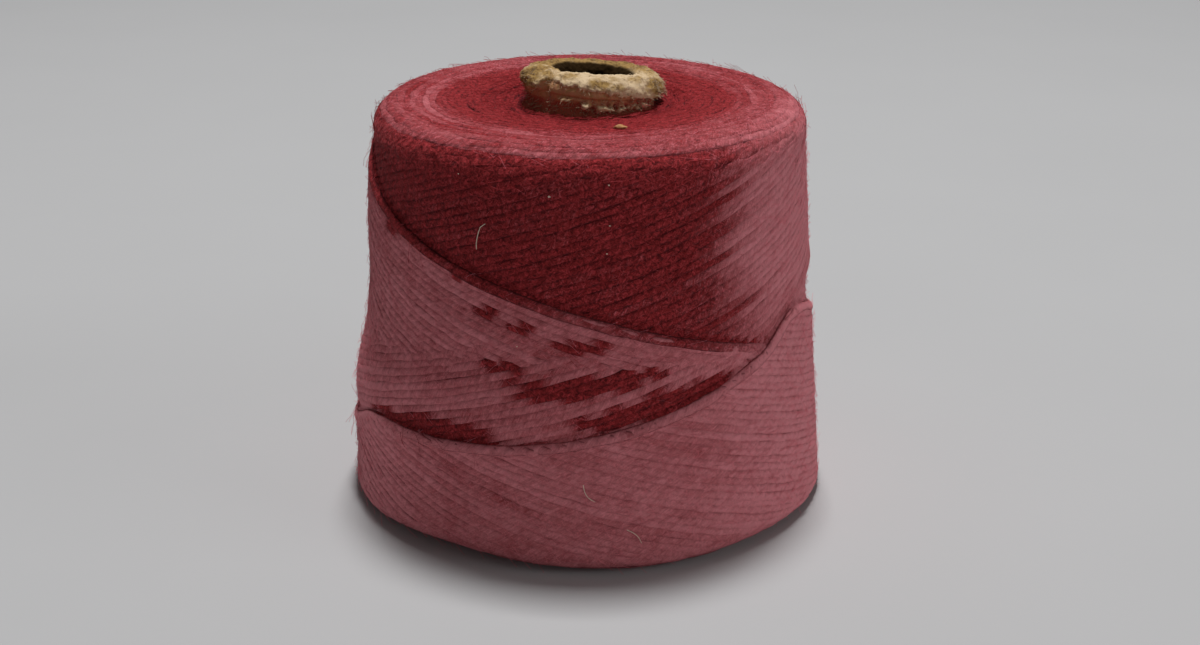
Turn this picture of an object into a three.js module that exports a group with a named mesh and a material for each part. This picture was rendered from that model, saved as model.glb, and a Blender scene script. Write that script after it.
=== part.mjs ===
// A cone of soft yarn, cross-wound on a pulp-paper cone core with a rolled rim.
// Millimetres, +Z up. The origin is the middle of the base that the cone rests on.
// Azimuth is in degrees round +Z, 0 towards -Y and growing towards +X.

import * as THREE from "three";

// ---- driving sizes -------------------------------------------------------------------------

const TAPER = (4 + 20 / 60) * Math.PI / 180; // half angle of a 4 degree 20 minute cone
const WINDING_HEIGHT = 130; // a five inch traverse, a little swollen
const WINDING_BASE_RADIUS = 78.2; // where the side would meet the base with no rounding
const SHOULDER_ROUNDING = 9;
const TOP_DISH = 1.2; // how far the top face falls towards the core

const CORE_BASE_RADIUS = 30.8;
const CORE_WALL = 3;
const CORE_SHAFT_HEIGHT = 130.4; // where the shaft ends and the rolled rim starts
const RIM_UNDERCUT = 30; // degrees below the rim's widest point where its roll meets the shaft
const RIM_UNDERSIDE = 2.8; // vertical reach of the roll below its widest point
const RIM_CURL = 235; // degrees round the roll, from its widest point, where the bore starts
const ROLL_STEPS = 9;
const SEAT_GAP = 0.3; // between the core and the yarn

const WINDING_COLUMNS = 72;
const CORE_COLUMNS = 36;
const ROW_GAP = 0.2; // least height between two rows of the winding's side
const QUARTER_TURN = [0, 30, 60, 90]; // degrees round each rounded edge of the winding

// How far the base's lower edge is rounded off, which differs round the cone.
const BASE_ROUNDING = [
  { azimuth: -84, radius: 4.5 },
  { azimuth: -60, radius: 6 },
  { azimuth: -34, radius: 11 },
  { azimuth: -8, radius: 7 },
  { azimuth: 15, radius: 5.5 },
  { azimuth: 48, radius: 7.5 },
  { azimuth: 83, radius: 4 },
  { azimuth: 180, radius: 6 },
];

// ---- the three panels of the last winding layers --------------------------------------------

// Upper edge of the middle panel. It falls from the shoulder to the pinch, where the three
// panels meet, and the upper panel's own edge rises from there, round the back.
const UPPER_EDGE = [
  { azimuth: -84, height: 114 },
  { azimuth: -48, height: 98.8 },
  { azimuth: -20, height: 88.3 },
  { azimuth: 9, height: 77.8 },
  { azimuth: 37, height: 67.8 },
  { azimuth: 50, height: 64.5 },
  { azimuth: 75, height: 73 },
  { azimuth: 110, height: 88 },
  { azimuth: 195, height: 122 },
  { azimuth: 225, height: 127 },
  { azimuth: 256, height: 122 },
];

// The line at mid height where the middle panel's falling strands meet its rising ones.
const CHEVRON = [
  { azimuth: -84, height: 58 },
  { azimuth: -60, height: 59 },
  { azimuth: -32, height: 66.5 },
  { azimuth: 3, height: 65.6 },
  { azimuth: 46, height: 63.8 },
  { azimuth: 80, height: 66 },
  { azimuth: 150, height: 64 },
  { azimuth: 225, height: 61 },
];

// Upper edge of the bottom panel.
const LOWER_EDGE = [
  { azimuth: -84, height: 25.8 },
  { azimuth: -62, height: 35.5 },
  { azimuth: -31, height: 38.5 },
  { azimuth: -7, height: 42.3 },
  { azimuth: 17, height: 49.3 },
  { azimuth: 47, height: 62.3 },
  { azimuth: 61, height: 70.4 },
  { azimuth: 83, height: 64 },
  { azimuth: 130, height: 45 },
  { azimuth: 190, height: 30 },
  { azimuth: 230, height: 26 },
];

// Relief across an edge, by height above it. On the falling arm the strands below the edge lie
// on those above, and on the rising arm behind the pinch the strands above lie on those below.
const UPPER_EDGE_RELIEF = [
  { above: -14, falling: 0, rising: 0 },
  { above: -4, falling: 0.5, rising: -0.4 },
  { above: -1.3, falling: 1, rising: -0.8 },
  { above: 1.3, falling: -0.9, rising: 0.9 },
  { above: 4, falling: -0.5, rising: 0.4 },
  { above: 14, falling: 0, rising: 0 },
];
const CHEVRON_RELIEF = [
  { above: -8, relief: 0 },
  { above: 0, relief: -0.4 },
  { above: 8, relief: 0 },
];
const LOWER_EDGE_RELIEF = [
  { above: -14, relief: 0 },
  { above: -4, relief: 0.6 },
  { above: -1.3, relief: 1.1 },
  { above: 1.3, relief: -1 },
  { above: 4, relief: -0.5 },
  { above: 14, relief: 0 },
];
const DEEPEST_HOLLOW = -2;
const HIGHEST_SWELL = 1.6;
const PINCH_AZIMUTH = 50;
const SHOULDER_AZIMUTH = 225; // where the upper edge lies hidden above the shoulder
const ARM_BLEND = 14; // degrees over which one arm's relief turns into the other's
const PINCH_FADE = 14; // height between the edges below which their relief fades
const SHOULDER_FADE = 9; // height below the shoulder over which the edges' relief fades

// Broad swells and hollows of the soft winding.
const SWELLS = [
  { azimuth: -86, height: 37, azimuthSpread: 42, heightSpread: 12, relief: 1.7 },
  { azimuth: -86, height: 71, azimuthSpread: 40, heightSpread: 17, relief: -1.7 },
  { azimuth: -86, height: 117, azimuthSpread: 30, heightSpread: 8, relief: -1 },
  { azimuth: 84, height: 72, azimuthSpread: 34, heightSpread: 16, relief: -0.9 },
  { azimuth: 84, height: 128, azimuthSpread: 30, heightSpread: 7, relief: 1.2 },
  { azimuth: -52, height: 124, azimuthSpread: 9, heightSpread: 6, relief: 0.9 },
  { azimuth: -24, height: 126, azimuthSpread: 8, heightSpread: 6, relief: -0.7 },
  { azimuth: 12, height: 125, azimuthSpread: 12, heightSpread: 7, relief: 0.6 },
];

// The rolled rim, which was rolled off centre. It leans: it stands highest at the front left and
// droops on the right. "outer" and "hole" are radii, and the other two are heights.
const RIM_ROLL = [
  { azimuth: -90, outer: 21.4, hole: 10, widest: 136.6, crest: 139.8 },
  { azimuth: -40, outer: 22.4, hole: 11.5, widest: 135.6, crest: 140 },
  { azimuth: 0, outer: 22.9, hole: 13.2, widest: 134.6, crest: 139.5 },
  { azimuth: 40, outer: 23.9, hole: 15.5, widest: 133, crest: 138.2 },
  { azimuth: 90, outer: 25, hole: 16.8, widest: 131.4, crest: 137.2 },
  { azimuth: 135, outer: 24, hole: 15.8, widest: 132.4, crest: 137.6 },
  { azimuth: 180, outer: 22.8, hole: 13.6, widest: 133.6, crest: 137.9 },
  { azimuth: 225, outer: 21.8, hole: 11, widest: 135.2, crest: 138.8 },
];

// Tears and lumps of the rolled rim.
const RIM_TEARS = [
  { azimuth: -39, spread: 7, outward: -2, upward: -1.3 },
  { azimuth: -60, spread: 12, outward: 0.5, upward: 0.2 },
  { azimuth: 4, spread: 12, outward: 0.5, upward: -0.6 },
  { azimuth: 76, spread: 9, outward: -1.2, upward: -0.8 },
  { azimuth: 150, spread: 20, outward: 0.3, upward: -0.4 },
  { azimuth: 215, spread: 14, outward: -0.5, upward: 0.2 },
];

// ---- helpers -------------------------------------------------------------------------------

const radians = (degrees) => degrees * Math.PI / 180;

// Signed angle from one azimuth to another, between -180 and 180 degrees.
const turnBetween = (from, to) => ((to - from + 540) % 360 + 360) % 360 - 180;

// A closed Catmull-Rom curve through one column of a table, by azimuth.
function curveAt(table, column, azimuth) {
  const count = table.length;
  const gapAfter = (i) => (table[(i + 1) % count].azimuth - table[i].azimuth + 360) % 360;
  let index = 0;
  let along = (azimuth - table[0].azimuth + 720) % 360;
  while (along > gapAfter(index)) {
    along -= gapAfter(index);
    index += 1;
  }
  const [before, from, to, after] = [-1, 0, 1, 2].map((k) => table[(index + k + count) % count][column]);
  const gap = gapAfter(index);
  const slopeFrom = (to - before) / (gap + gapAfter((index - 1 + count) % count));
  const slopeTo = (after - from) / (gap + gapAfter((index + 1) % count));
  const t = along / gap;
  const turn = t * t * (3 - 2 * t);
  const leave = gap * slopeFrom * t * (1 - t) * (1 - t);
  const arrive = gap * slopeTo * t * t * (t - 1);
  return from + (to - from) * turn + leave + arrive;
}

const heightAt = (edge, azimuth) => curveAt(edge, "height", azimuth);

// Straight lines through a relief table, and nothing outside it.
function reliefAt(table, column, above) {
  const upper = table.findIndex((row) => row.above >= above);
  if (upper <= 0) return 0;
  const [low, high] = [table[upper - 1], table[upper]];
  const share = (above - low.above) / (high.above - low.above);
  return low[column] + (high[column] - low[column]) * share;
}

const bell = (distance, spread) => Math.exp(-(distance * distance) / (spread * spread));

const clamp = (value, low, high) => Math.min(high, Math.max(low, value));

// One closed body from a closed section of [radius, height] points at each azimuth. Each section
// runs up its outside, in over its top and down its bore.
function ringSolid(columns, sectionAt) {
  const positions = [];
  const indices = [];
  const rows = sectionAt(0).length;
  for (let column = 0; column < columns; column += 1) {
    const azimuth = 360 * column / columns;
    const [across, along] = [Math.sin(radians(azimuth)), -Math.cos(radians(azimuth))];
    for (const [radius, height] of sectionAt(azimuth)) {
      positions.push(radius * across, radius * along, height);
    }
    for (let row = 0; row < rows; row += 1) {
      const nextColumn = (column + 1) % columns;
      const nextRow = (row + 1) % rows;
      const [a, b] = [column * rows + row, nextColumn * rows + row];
      const [c, d] = [nextColumn * rows + nextRow, column * rows + nextRow];
      indices.push(a, b, c, a, c, d);
    }
  }
  const geometry = new THREE.BufferGeometry();
  geometry.setAttribute("position", new THREE.Float32BufferAttribute(positions, 3));
  geometry.setIndex(indices);
  geometry.computeVertexNormals();
  return geometry;
}

function namedMesh(name, geometry, finish) {
  const mesh = new THREE.Mesh(geometry, new THREE.MeshStandardMaterial(finish));
  mesh.name = name;
  return mesh;
}

// ---- the core ------------------------------------------------------------------------------

const coreRadius = (height) => CORE_BASE_RADIUS - height * Math.tan(TAPER);

function coreSection(azimuth) {
  const section = [0, 0.25, 0.5, 0.75, 1].map((share) => {
    const height = CORE_SHAFT_HEIGHT * share;
    return [coreRadius(height), height];
  });
  const [outer, hole, widest, crest] = ["outer", "hole", "widest", "crest"]
    .map((column) => curveAt(RIM_ROLL, column, azimuth));
  let [outward, upward] = [0, 0];
  for (const tear of RIM_TEARS) {
    const weight = bell(turnBetween(tear.azimuth, azimuth), tear.spread);
    outward += tear.outward * weight;
    upward += tear.upward * weight;
  }
  for (let step = 0; step <= ROLL_STEPS; step += 1) {
    const angle = radians(-RIM_UNDERCUT + (RIM_CURL + RIM_UNDERCUT) * step / ROLL_STEPS);
    const [outside, above] = [Math.max(0, Math.cos(angle)), Math.max(0, Math.sin(angle))];
    const radius = (outer + hole) / 2 + (outer - hole) / 2 * Math.cos(angle) + outward * outside;
    const reach = angle < 0 ? RIM_UNDERSIDE : crest - widest;
    section.push([radius, widest + reach * Math.sin(angle) + upward * above]);
  }
  for (const share of [0.95, 0.7, 0.35, 0]) {
    const height = CORE_SHAFT_HEIGHT * share;
    section.push([coreRadius(height) - CORE_WALL, height]);
  }
  return section;
}

// ---- the wound yarn ------------------------------------------------------------------------

const windingRadius = (height) => WINDING_BASE_RADIUS - height * Math.tan(TAPER);

// How far the winding's side stands off the plain cone.
function windingRelief(azimuth, height) {
  const fromPinch = turnBetween(PINCH_AZIMUTH, azimuth);
  const fromShoulder = turnBetween(SHOULDER_AZIMUTH, azimuth);
  const rising = clamp(0.5 + fromPinch / ARM_BLEND, 0, 1) * clamp(0.5 - fromShoulder / ARM_BLEND, 0, 1);
  const aboveUpper = height - heightAt(UPPER_EDGE, azimuth);
  const aboveChevron = height - heightAt(CHEVRON, azimuth);
  const aboveLower = height - heightAt(LOWER_EDGE, azimuth);
  const shoulder = WINDING_HEIGHT - SHOULDER_ROUNDING;
  const openUpper = clamp((aboveLower - aboveUpper) / PINCH_FADE, 0, 1);
  const openShoulder = clamp((shoulder - height + aboveUpper) / SHOULDER_FADE, 0, 1);
  let relief = reliefAt(UPPER_EDGE_RELIEF, "falling", aboveUpper) * (1 - rising);
  relief += reliefAt(UPPER_EDGE_RELIEF, "rising", aboveUpper) * rising;
  relief *= openUpper * openShoulder;
  relief += reliefAt(CHEVRON_RELIEF, "relief", aboveChevron) * openUpper;
  relief += reliefAt(LOWER_EDGE_RELIEF, "relief", aboveLower);
  for (const swell of SWELLS) {
    const weight = bell(turnBetween(swell.azimuth, azimuth), swell.azimuthSpread);
    relief += swell.relief * weight * bell(height - swell.height, swell.heightSpread);
  }
  return clamp(relief, DEEPEST_HOLLOW, HIGHEST_SWELL);
}

// Heights of the side's rows, which follow the panels' edges, in rising order.
function sideHeights(azimuth) {
  const low = curveAt(BASE_ROUNDING, "radius", azimuth) + ROW_GAP;
  const high = WINDING_HEIGHT - SHOULDER_ROUNDING - ROW_GAP;
  const edges = [
    { table: LOWER_EDGE, offsets: LOWER_EDGE_RELIEF },
    { table: CHEVRON, offsets: CHEVRON_RELIEF },
    { table: UPPER_EDGE, offsets: UPPER_EDGE_RELIEF },
  ];
  const heights = edges.flatMap(({ table, offsets }) => {
    const edge = heightAt(table, azimuth);
    return offsets.map((row) => edge + row.above);
  });
  heights.sort((a, b) => a - b);
  const last = heights.length - 1;
  heights.forEach((height, row) => {
    const floor = row ? heights[row - 1] + ROW_GAP : low;
    heights[row] = clamp(height, floor, Math.max(floor, high - (last - row) * ROW_GAP));
  });
  return heights;
}

function windingSection(azimuth) {
  const section = [];
  const quarter = QUARTER_TURN.map(radians);
  const place = (height, inset) => {
    section.push([windingRadius(height) - inset + windingRelief(azimuth, height), height]);
  };
  const rounding = curveAt(BASE_ROUNDING, "radius", azimuth);
  quarter.forEach((a) => place(rounding * (1 - Math.cos(a)), rounding * (1 - Math.sin(a))));
  sideHeights(azimuth).forEach((height) => place(height, 0));
  const shoulder = WINDING_HEIGHT - SHOULDER_ROUNDING;
  quarter.forEach((a) => {
    place(shoulder + SHOULDER_ROUNDING * Math.sin(a), SHOULDER_ROUNDING * (1 - Math.cos(a)));
  });
  const boreGap = SEAT_GAP / Math.cos(TAPER);
  const topMiddle = (section[section.length - 1][0] + coreRadius(WINDING_HEIGHT)) / 2;
  section.push([topMiddle, WINDING_HEIGHT - TOP_DISH / 3]);
  for (const share of [1, 0.66, 0.33, 0]) {
    const height = (WINDING_HEIGHT - TOP_DISH) * share;
    section.push([coreRadius(height) + boreGap, height]);
  }
  return section;
}

// ---- the part ------------------------------------------------------------------------------

const part = new THREE.Group();
part.add(namedMesh("core", ringSolid(CORE_COLUMNS, coreSection), {
  color: "#a5895f",
  roughness: 0.95,
  metalness: 0,
}));
part.add(namedMesh("wound_yarn", ringSolid(WINDING_COLUMNS, windingSection), {
  color: "#7f1f2b",
  roughness: 0.95,
  metalness: 0,
}));

export default part;
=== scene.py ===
"""A cone of soft crimson yarn, cross-wound on a pulp-paper core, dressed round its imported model.

Shapes are worked out in millimetres, and each mesh is made in metres. Azimuth is in degrees round
+Z, 0 towards -Y and growing towards +X. Travel is a distance along the winding's outline, seen from
the side: it equals the height on the straight side, and runs on over the shoulder and along the
top face, and back round the lower edge and along the base face.
"""

import math

import bmesh
import bpy
import numpy as np
from mathutils import Matrix, Vector, noise


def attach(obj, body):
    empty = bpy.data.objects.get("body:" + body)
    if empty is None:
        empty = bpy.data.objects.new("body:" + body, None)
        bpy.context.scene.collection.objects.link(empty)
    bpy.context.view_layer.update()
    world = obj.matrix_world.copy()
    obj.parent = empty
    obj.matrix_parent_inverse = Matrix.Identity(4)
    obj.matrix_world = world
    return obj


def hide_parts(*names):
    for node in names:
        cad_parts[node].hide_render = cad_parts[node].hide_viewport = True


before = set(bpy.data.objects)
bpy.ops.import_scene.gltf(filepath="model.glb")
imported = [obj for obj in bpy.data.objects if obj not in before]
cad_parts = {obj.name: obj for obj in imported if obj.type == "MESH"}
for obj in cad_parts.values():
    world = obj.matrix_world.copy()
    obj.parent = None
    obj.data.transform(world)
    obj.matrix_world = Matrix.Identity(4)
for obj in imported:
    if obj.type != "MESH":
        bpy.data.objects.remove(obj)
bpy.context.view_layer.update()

bl_info = {
    "name": "Cone of Yarn",
    "version": (1, 0, 0),
    "blender": (4, 5, 0),
    "location": "3D View > Sidebar > Yarn Cone",
    "description": "Builds a cross-wound cone of yarn on its paper core, strand by strand",
    "category": "Add Mesh",
}

MM = 0.001
GROUND_GAP = 0.0001  # metres that the lowest yarn stays over the ground

# ---- sizes of the cone, in millimetres ------------------------------------------------------

TAPER = math.radians(4 + 20 / 60)
WINDING_HEIGHT = 130
WINDING_BASE_RADIUS = 78.2
SHOULDER_ROUNDING = 9
TOP_DISH = 1.7
CORE_BASE_RADIUS = 30.8
CORE_WALL = 3
CORE_SHAFT_HEIGHT = 130.4
RIM_UNDERCUT = 30
RIM_CURL = 235
RIM_UNDERSIDE = 2.8
SEAT_GAP = 0.3

SHOULDER = WINDING_HEIGHT - SHOULDER_ROUNDING
TOP_FACE_START = SHOULDER + SHOULDER_ROUNDING * math.pi / 2
TOP_FACE_WIDTH = 38.1  # from the rounded shoulder to the core
TOP_FACE_END = TOP_FACE_START + TOP_FACE_WIDTH - 0.4
DISH_CURVE = 1.6

# Each table is (azimuth, value).
BASE_ROUNDING = [(-84, 4.5), (-60, 6), (-34, 11), (-8, 7), (15, 5.5), (48, 7.5), (83, 4), (180, 6)]
UPPER_EDGE = [
    (-84, 114), (-48, 98.8), (-20, 88.3), (9, 77.8), (37, 67.8), (50, 64.5),
    (75, 73), (110, 88), (195, 122), (225, 127), (256, 122),
]
CHEVRON = [
    (-84, 58), (-60, 59), (-32, 66.5), (3, 65.6), (46, 63.8), (80, 66), (150, 64), (225, 61),
]
LOWER_EDGE = [
    (-84, 25.8), (-62, 35.5), (-31, 38.5), (-7, 42.3), (17, 49.3), (47, 62.3),
    (61, 70.4), (83, 64), (130, 45), (190, 30), (230, 26),
]

# Relief across an edge: (height above it, relief).
FALLING_RELIEF = [(-14, 0), (-4, 0.5), (-1.3, 1), (1.3, -0.9), (4, -0.5), (14, 0)]
RISING_RELIEF = [(-14, 0), (-4, -0.4), (-1.3, -0.8), (1.3, 0.9), (4, 0.4), (14, 0)]
CHEVRON_RELIEF = [(-8, 0), (0, -0.4), (8, 0)]
LOWER_RELIEF = [(-14, 0), (-4, 0.6), (-1.3, 1.1), (1.3, -1), (4, -0.5), (14, 0)]
DEEPEST_HOLLOW = -2
HIGHEST_SWELL = 1.6
PINCH_AZIMUTH = 50
SHOULDER_AZIMUTH = 225
ARM_BLEND = 14
PINCH_FADE = 14
SHOULDER_FADE = 9

# Broad swells and hollows: (azimuth, height, azimuth spread, height spread, relief).
SWELLS = [
    (-86, 37, 42, 12, 1.7),
    (-86, 71, 40, 17, -1.7),
    (-86, 117, 30, 8, -1),
    (84, 72, 34, 16, -0.9),
    (84, 128, 30, 7, 1.2),
    (-52, 124, 9, 6, 0.9),
    (-24, 126, 8, 6, -0.7),
    (12, 125, 12, 7, 0.6),
]

# Painted milky sheen, strongest at the grazing sides and the upper right: where the yarn is paler,
# or deeper crimson, than its panel: (azimuth, travel, azimuth spread, travel spread, sheen).
PAINTED_SHEEN = [
    (-82, 18, 34, 26, 0.4),
    (80, 34, 42, 36, 0.5),
    (66, 98, 30, 29, 1.0),
    (-70, 60, 30, 30, 0.12),
    (-58.5, 98.4, 3, 2.2, -0.7),
    (-34, 89.9, 1.5, 0.9, -0.6),
    (-24.6, 80.4, 2.6, 1.7, -0.8),
    (-15.8, 76.8, 3, 1.6, -0.7),
    (-2.2, 71.7, 6, 1.9, -0.75),
    (-20, 64.2, 5, 1.6, -0.8),
    (-9, 57.9, 8, 2.7, -0.9),
    (3, 60.6, 8, 2.4, -0.9),
    (13, 62.8, 5, 1.4, -0.8),
    (3, 48.3, 6, 1.7, -0.8),
    (12, 51, 7, 2.5, -0.9),
    (22, 54.4, 8, 3.1, -0.9),
    (31, 57.2, 5, 2, -0.8),
    (-52, 38, 12, 2.6, -0.9),
    (-34, 40.6, 11, 3.2, -0.9),
]

# The deeper crimson band under the falling upper edge, with less painted sheen, widening to the left.
RIDGE_SHEEN = -0.35
RIDGE_WIDTH = 1.3
RIDGE_WIDENING = 1.7
RIDGE_WIDENS = (-4, -44)  # azimuths
LOWER_EDGE_LAP = 0.2  # how far above the lower edge its patches of less painted sheen already end

# How much painted milky sheen the strands of each panel carry.
TONES = {"upper": 0.02, "falling": 0.56, "rising": 0.52, "bottom": 0.6}
# The shoulder's and the top face's painted milky sheen, and how it fades towards the core.
SHOULDER_TONE = 0.3
TOP_SHEEN_FADING = 0.6
TOP_SHEEN_FADES = (142, 160)  # travel
BASE_TONE = 0.5

# The rolled rim: (azimuth, outer radius, hole radius, height of its widest point, crest height).
RIM_ROLL = [
    (-90, 21.4, 8.8, 136.6, 139.8),
    (-40, 22.4, 9, 135.6, 140.4),
    (0, 22.9, 9.6, 134.6, 140.5),
    (40, 23.7, 11.6, 133, 139.5),
    (90, 24.4, 12.6, 131.6, 137.7),
    (135, 24, 13.8, 132.4, 137.6),
    (180, 22.8, 13.6, 133.6, 137.9),
    (225, 21.8, 11, 135.2, 138.8),
]

# Tears and lumps of the rolled rim: (azimuth, spread, outward, upward).
RIM_TEARS = [
    (-39, 3.6, -2.6, -1.6),
    (-60, 12, 0.5, 0.2),
    (4, 12, 0.3, 0),
    (76, 8, -1.2, -0.8),
    (150, 20, 0.3, -0.4),
    (215, 14, -0.5, 0.2),
]

# Where the rim's outer paper layer is torn off: (azimuth, degrees round the roll from its
# widest point). The layer below the line is gone.
TORN_LINE = [
    (-58, -30), (-48, -10), (-41, 52), (-30, 46), (-20, 34), (-10, 26), (0, 21), (10, 18),
    (20, 13), (30, 7), (40, 1), (50, -5), (60, -12), (70, -18), (80, -28), (95, -30), (180, -26),
]

# Brown stains on the rim: (azimuth, degrees round the roll, azimuth spread, spread round the
# roll, strength).
RIM_STAINS = [
    (-70, 45, 20, 75, 1.2),
    (-38, 20, 6, 42, 1.15),
    (-47, 75, 8, 30, 0.6),
    (-20, 75, 9, 16, 0.45),
    (10, 42, 9, 12, 0.9),
    (24, 34, 8, 9, 0.5),
    (72, 30, 12, 26, 1.6),
    (74, 0, 10, 20, 1.4),
    (48, 66, 10, 14, 0.35),
    (150, 80, 60, 60, 0.85),
    (225, 90, 50, 60, 0.85),
]

# Pale frayed patches on the core's neck, partly real and partly painted light where its jutting
# collar catches the light: (azimuth, height, azimuth spread, height spread, strength).
NECK_PATCHES = [
    (-1.5, 131.5, 3.5, 1.2, 1.2),
    (14, 130.6, 12, 1.2, 0.9),
    (30, 130.4, 12, 1.2, 0.9),
    (47, 130.2, 12, 1.1, 0.8),
    (-17, 133.2, 9, 0.9, 0.5),
]

# Roughness of the paper: (size, scale of the noise for a millimetre). Torn edges are in degrees.
TEAR_GRAIN = [(11, 0.45), (8, 1.6)]
RIM_GRAIN = [(0.5, 0.25), (0.25, 0.9), (0.12, 2.6)]
TUFT_GRAIN = [(0.6, 0.6), (0.35, 1.9)]
SHAFT_GRAIN = [(0.3, 0.5), (0.2, 1.8)]
FRAY_GRAIN = [(1.3, 0.7)]
FRAY_MIDDLE = 0.95
PAPER_FRACTAL = (0.9, 2.0, 3)  # how fast the finer noise fades, how much finer, and its layers
TORN_DEPTH = 0.9
TORN_EDGE = (-3, 3)  # degrees round the roll, over which the outer layer ends
LUMPS_TORN, LUMPS_MORE_WHOLE = 0.45, 0.55
RIM_INSET = 0.2
TUFTED = (-64, 20)  # azimuth and spread of the fluffiest part of the rim
NECK_INSET = 0.3
NARROWED = (-80, 60)  # azimuth and spread of the neck's thinner side
NARROWED_BY = 1.6
NECK_ROUGH = (126.8, 129)  # heights over which the neck comes out of the yarn
NECK_LINTY = (135, 130.5)  # heights over which lint gathers downwards
NECK_FRAYED = (127.5, 129)  # heights over which frayed fibres begin
PATCH_SWELL = 3.2
LOWEST_PAPER = 0.2

# Painted shade inside the roll: degrees round it at the cone's sides, how much later at the front
# and earlier at the back, and over how many degrees.
SHADE_START, SHADE_SHIFT, SHADE_REACH = 122, 8, 16
BORE_SHADE = (0, 0.06)  # shares of the bore's height, from its foot, over which painted shade comes in
BORE_LAYER = 0.6
BORE_LUMPS = 0.4

# How much of the lint a whole outer layer keeps off, and the frayed fibres' cover on plain paper,
# and how much more there is of it in lint and on stains.
LINT_KEPT_OFF = 0.85
COVER_PLAIN, COVER_LINTY, COVER_STAINED = 0.2, 0.7, 0.3

# Parts of the core: the shares of the shaft's height, the neck or the bore at which rows lie.
SHAFT_ROWS = [0, 0.3, 0.6, 0.85, 0.94, *np.linspace(0.96, 1, 9)]
NECK_ROWS = np.linspace(0.125, 0.875, 7)
ROLL_ROWS = np.linspace(-RIM_UNDERCUT, RIM_CURL, 64)  # degrees
BORE_ROWS = np.linspace(0.965, 0, 20)
CORE_COLUMNS = 300
CORE_SKIN_COLUMNS = 180

# The winding's surface as a grid: (first travel, last travel, rows).
SKIN_SPANS = [(-40, -5, 30), (-4, 135, 90), (136, TOP_FACE_END, 30)]
BODY_COLUMNS = 180
BODY_BORE_ROWS = 8
# The body's crest value gives it the painted shade of the gaps between the strands.
BODY_CREST = -0.2  # on the scale of a strand's tube: 1 at its crest, 0 at its sides
FUZZ_COLUMNS = 240
FUZZ_ROOT = 0.12  # depth at which loose fibres start
FUZZ_GROUND = 3  # height under which no loose fibres grow
FUZZ_NEAR_CORE = (40, 30)  # radii over which the cover thickens towards the core
FUZZ_ON_TOP = (120, 124)  # heights over which it does so
CORE_FIBRE_THICKNESS = 1.4  # of the yarn's fibres

# Pale fibres caught in the yarn: (azimuth, travel, azimuth of the other end, its travel, bow).
STRAWS = [
    (-26.4, 105.8, -27.5, 98.8, -0.3),
    (-25, 107, -26.6, 105.5, 0.2),
    (-1, 29.5, 1.7, 24, -0.6),
    (8.8, 14.7, 12.2, 9.8, 0.5),
    (-9.3, 117.2, -9, 116.5, 0),
]
STRAW_THICKNESS = 0.24
STRAW_LAID = 0.3  # thickness for which a straw's middle line is laid
STRAW_DEPTH = -0.28
STRAW_DIP = 0.35  # how much deeper its ends lie
STRAW_STEP = 0.5
STRAW_POINTS = 12

# Specks of lint that lie on the yarn, and one crumb of paper: (azimuth, travel, length, width).
SPECKS = [
    (5, 120.2, 0.5, 0.35),
    (5.2, 108.3, 0.45, 0.3),
    (4.5, 100.1, 0.5, 0.35),
    (-16.6, 71.2, 0.45, 0.3),
    (-9.1, 116.6, 0.8, 0.55),
    (-32.9, 120.4, 0.4, 0.3),
]
CRUMBS = [(13.1, 153.2, 2.6, 1.8), (14.8, 152.6, 1.9, 1.2), (11.6, 153.9, 1.2, 1)]
SPECK_LIFT = 0.3  # of its width
SPECK_GRAIN = (0.45, 1.3)  # size and scale of its lumps, for a radius of 1
SPECK_FRACTAL = (0.8, 2.0, 3)

# ---- sizes of the strands, in millimetres ---------------------------------------------------

STRAND_COUNT = 60  # turns of one family that cross any level line
STRAND_SLOPE = 0.4  # millimetres of height for a degree of azimuth
STRAND_STEP = 1.7  # between the rings of a strand's tube
FEWEST_STEPS = 4  # shorter strands are left out
EDGE_LAP = 2.1  # how far from an edge the strands beside its ridge keep
DIVE_LAP = 1  # how far from an edge the strands start to dive under its ridge
TUCK_REACH = 4.5  # how far outside its panel a strand still runs, under its neighbours
TUCK_SLOPE = 0.55  # depth that it gains there for a millimetre of height
TURN_START = 117  # height at which the strands start to turn level at the shoulder
TURN_REACH = 12
BASE_TURN_START = 8
BASE_TURN_REACH = 8
TURN_SUNK = 20  # how far past its turn a strand starts to sink under its neighbours
BASE_TURN_SUNK = 9
SUNK_SLOPE = 0.3
FAMILY_RISE = (-14, 152)  # heights between which a family's strands are worked out
FAMILY_JITTER = 0.025  # in turns
FAMILY_STRAY = (-0.3, 1)  # how a strand's end strays, as shares of its panel's raggedness
EDGE_STRAY = 0.3  # share of that where a ridge covers the ends
PANEL_SLOPE = 0.32  # rise of the panels' strands for their run
SIDE = (4, 128)  # travel of the winding's side
FACE_START = 127  # travel at which the shoulder's level strands take over
TOP_FACE = (127.2, TOP_FACE_END)  # travel of the top face's rings
TOP_PITCH = 2.0
BASE_FACE = (-39.5, -2.0)
BASE_PITCH = 2.3
BASE_STEP = 2.6
BASE_SINK = 0.2
RING_GIRTH = 1.1
RING_SWEEP = (80, 210)  # degrees that one arc of a ring covers
RING_OVERLAP = 20

# How uneven a strand is: the spread of its offset, and (reach, size) of a smooth wander.
SIDE_JITTER, SIDE_WANDER = 0.03, (8, 0.14)
DEPTH_JITTER, DEPTH_WANDER = 0.06, (7, 0.07)
GIRTH_JITTER, GIRTH_WANDER = 0.025, (5, 0.055)
TONE_JITTER, TONE_WANDER = 0.05, (30, 0.04)
RING_DRIFT, RING_JITTER, RING_DEPTH_JITTER, RING_WANDER = 0.5, 0.12, 0.07, (22, 0.25)
TWIST_STARTS = (0, 400)  # a strand's twist starts at a random length along the yarn
PATCH_STRAY = 2.2  # degrees that a strand's share of the patches of painted sheen strays

# Places where strands go under their neighbours are rows of (start, end, depth), and the depth is
# reached at the end.
RING_DIVES = [(11, 0, 2.1)]  # degrees from the ends of an arc
TOP_FACE_DIVES = [(130, 127, 0.35), (157, 171, 0.9)]  # travel

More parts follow.
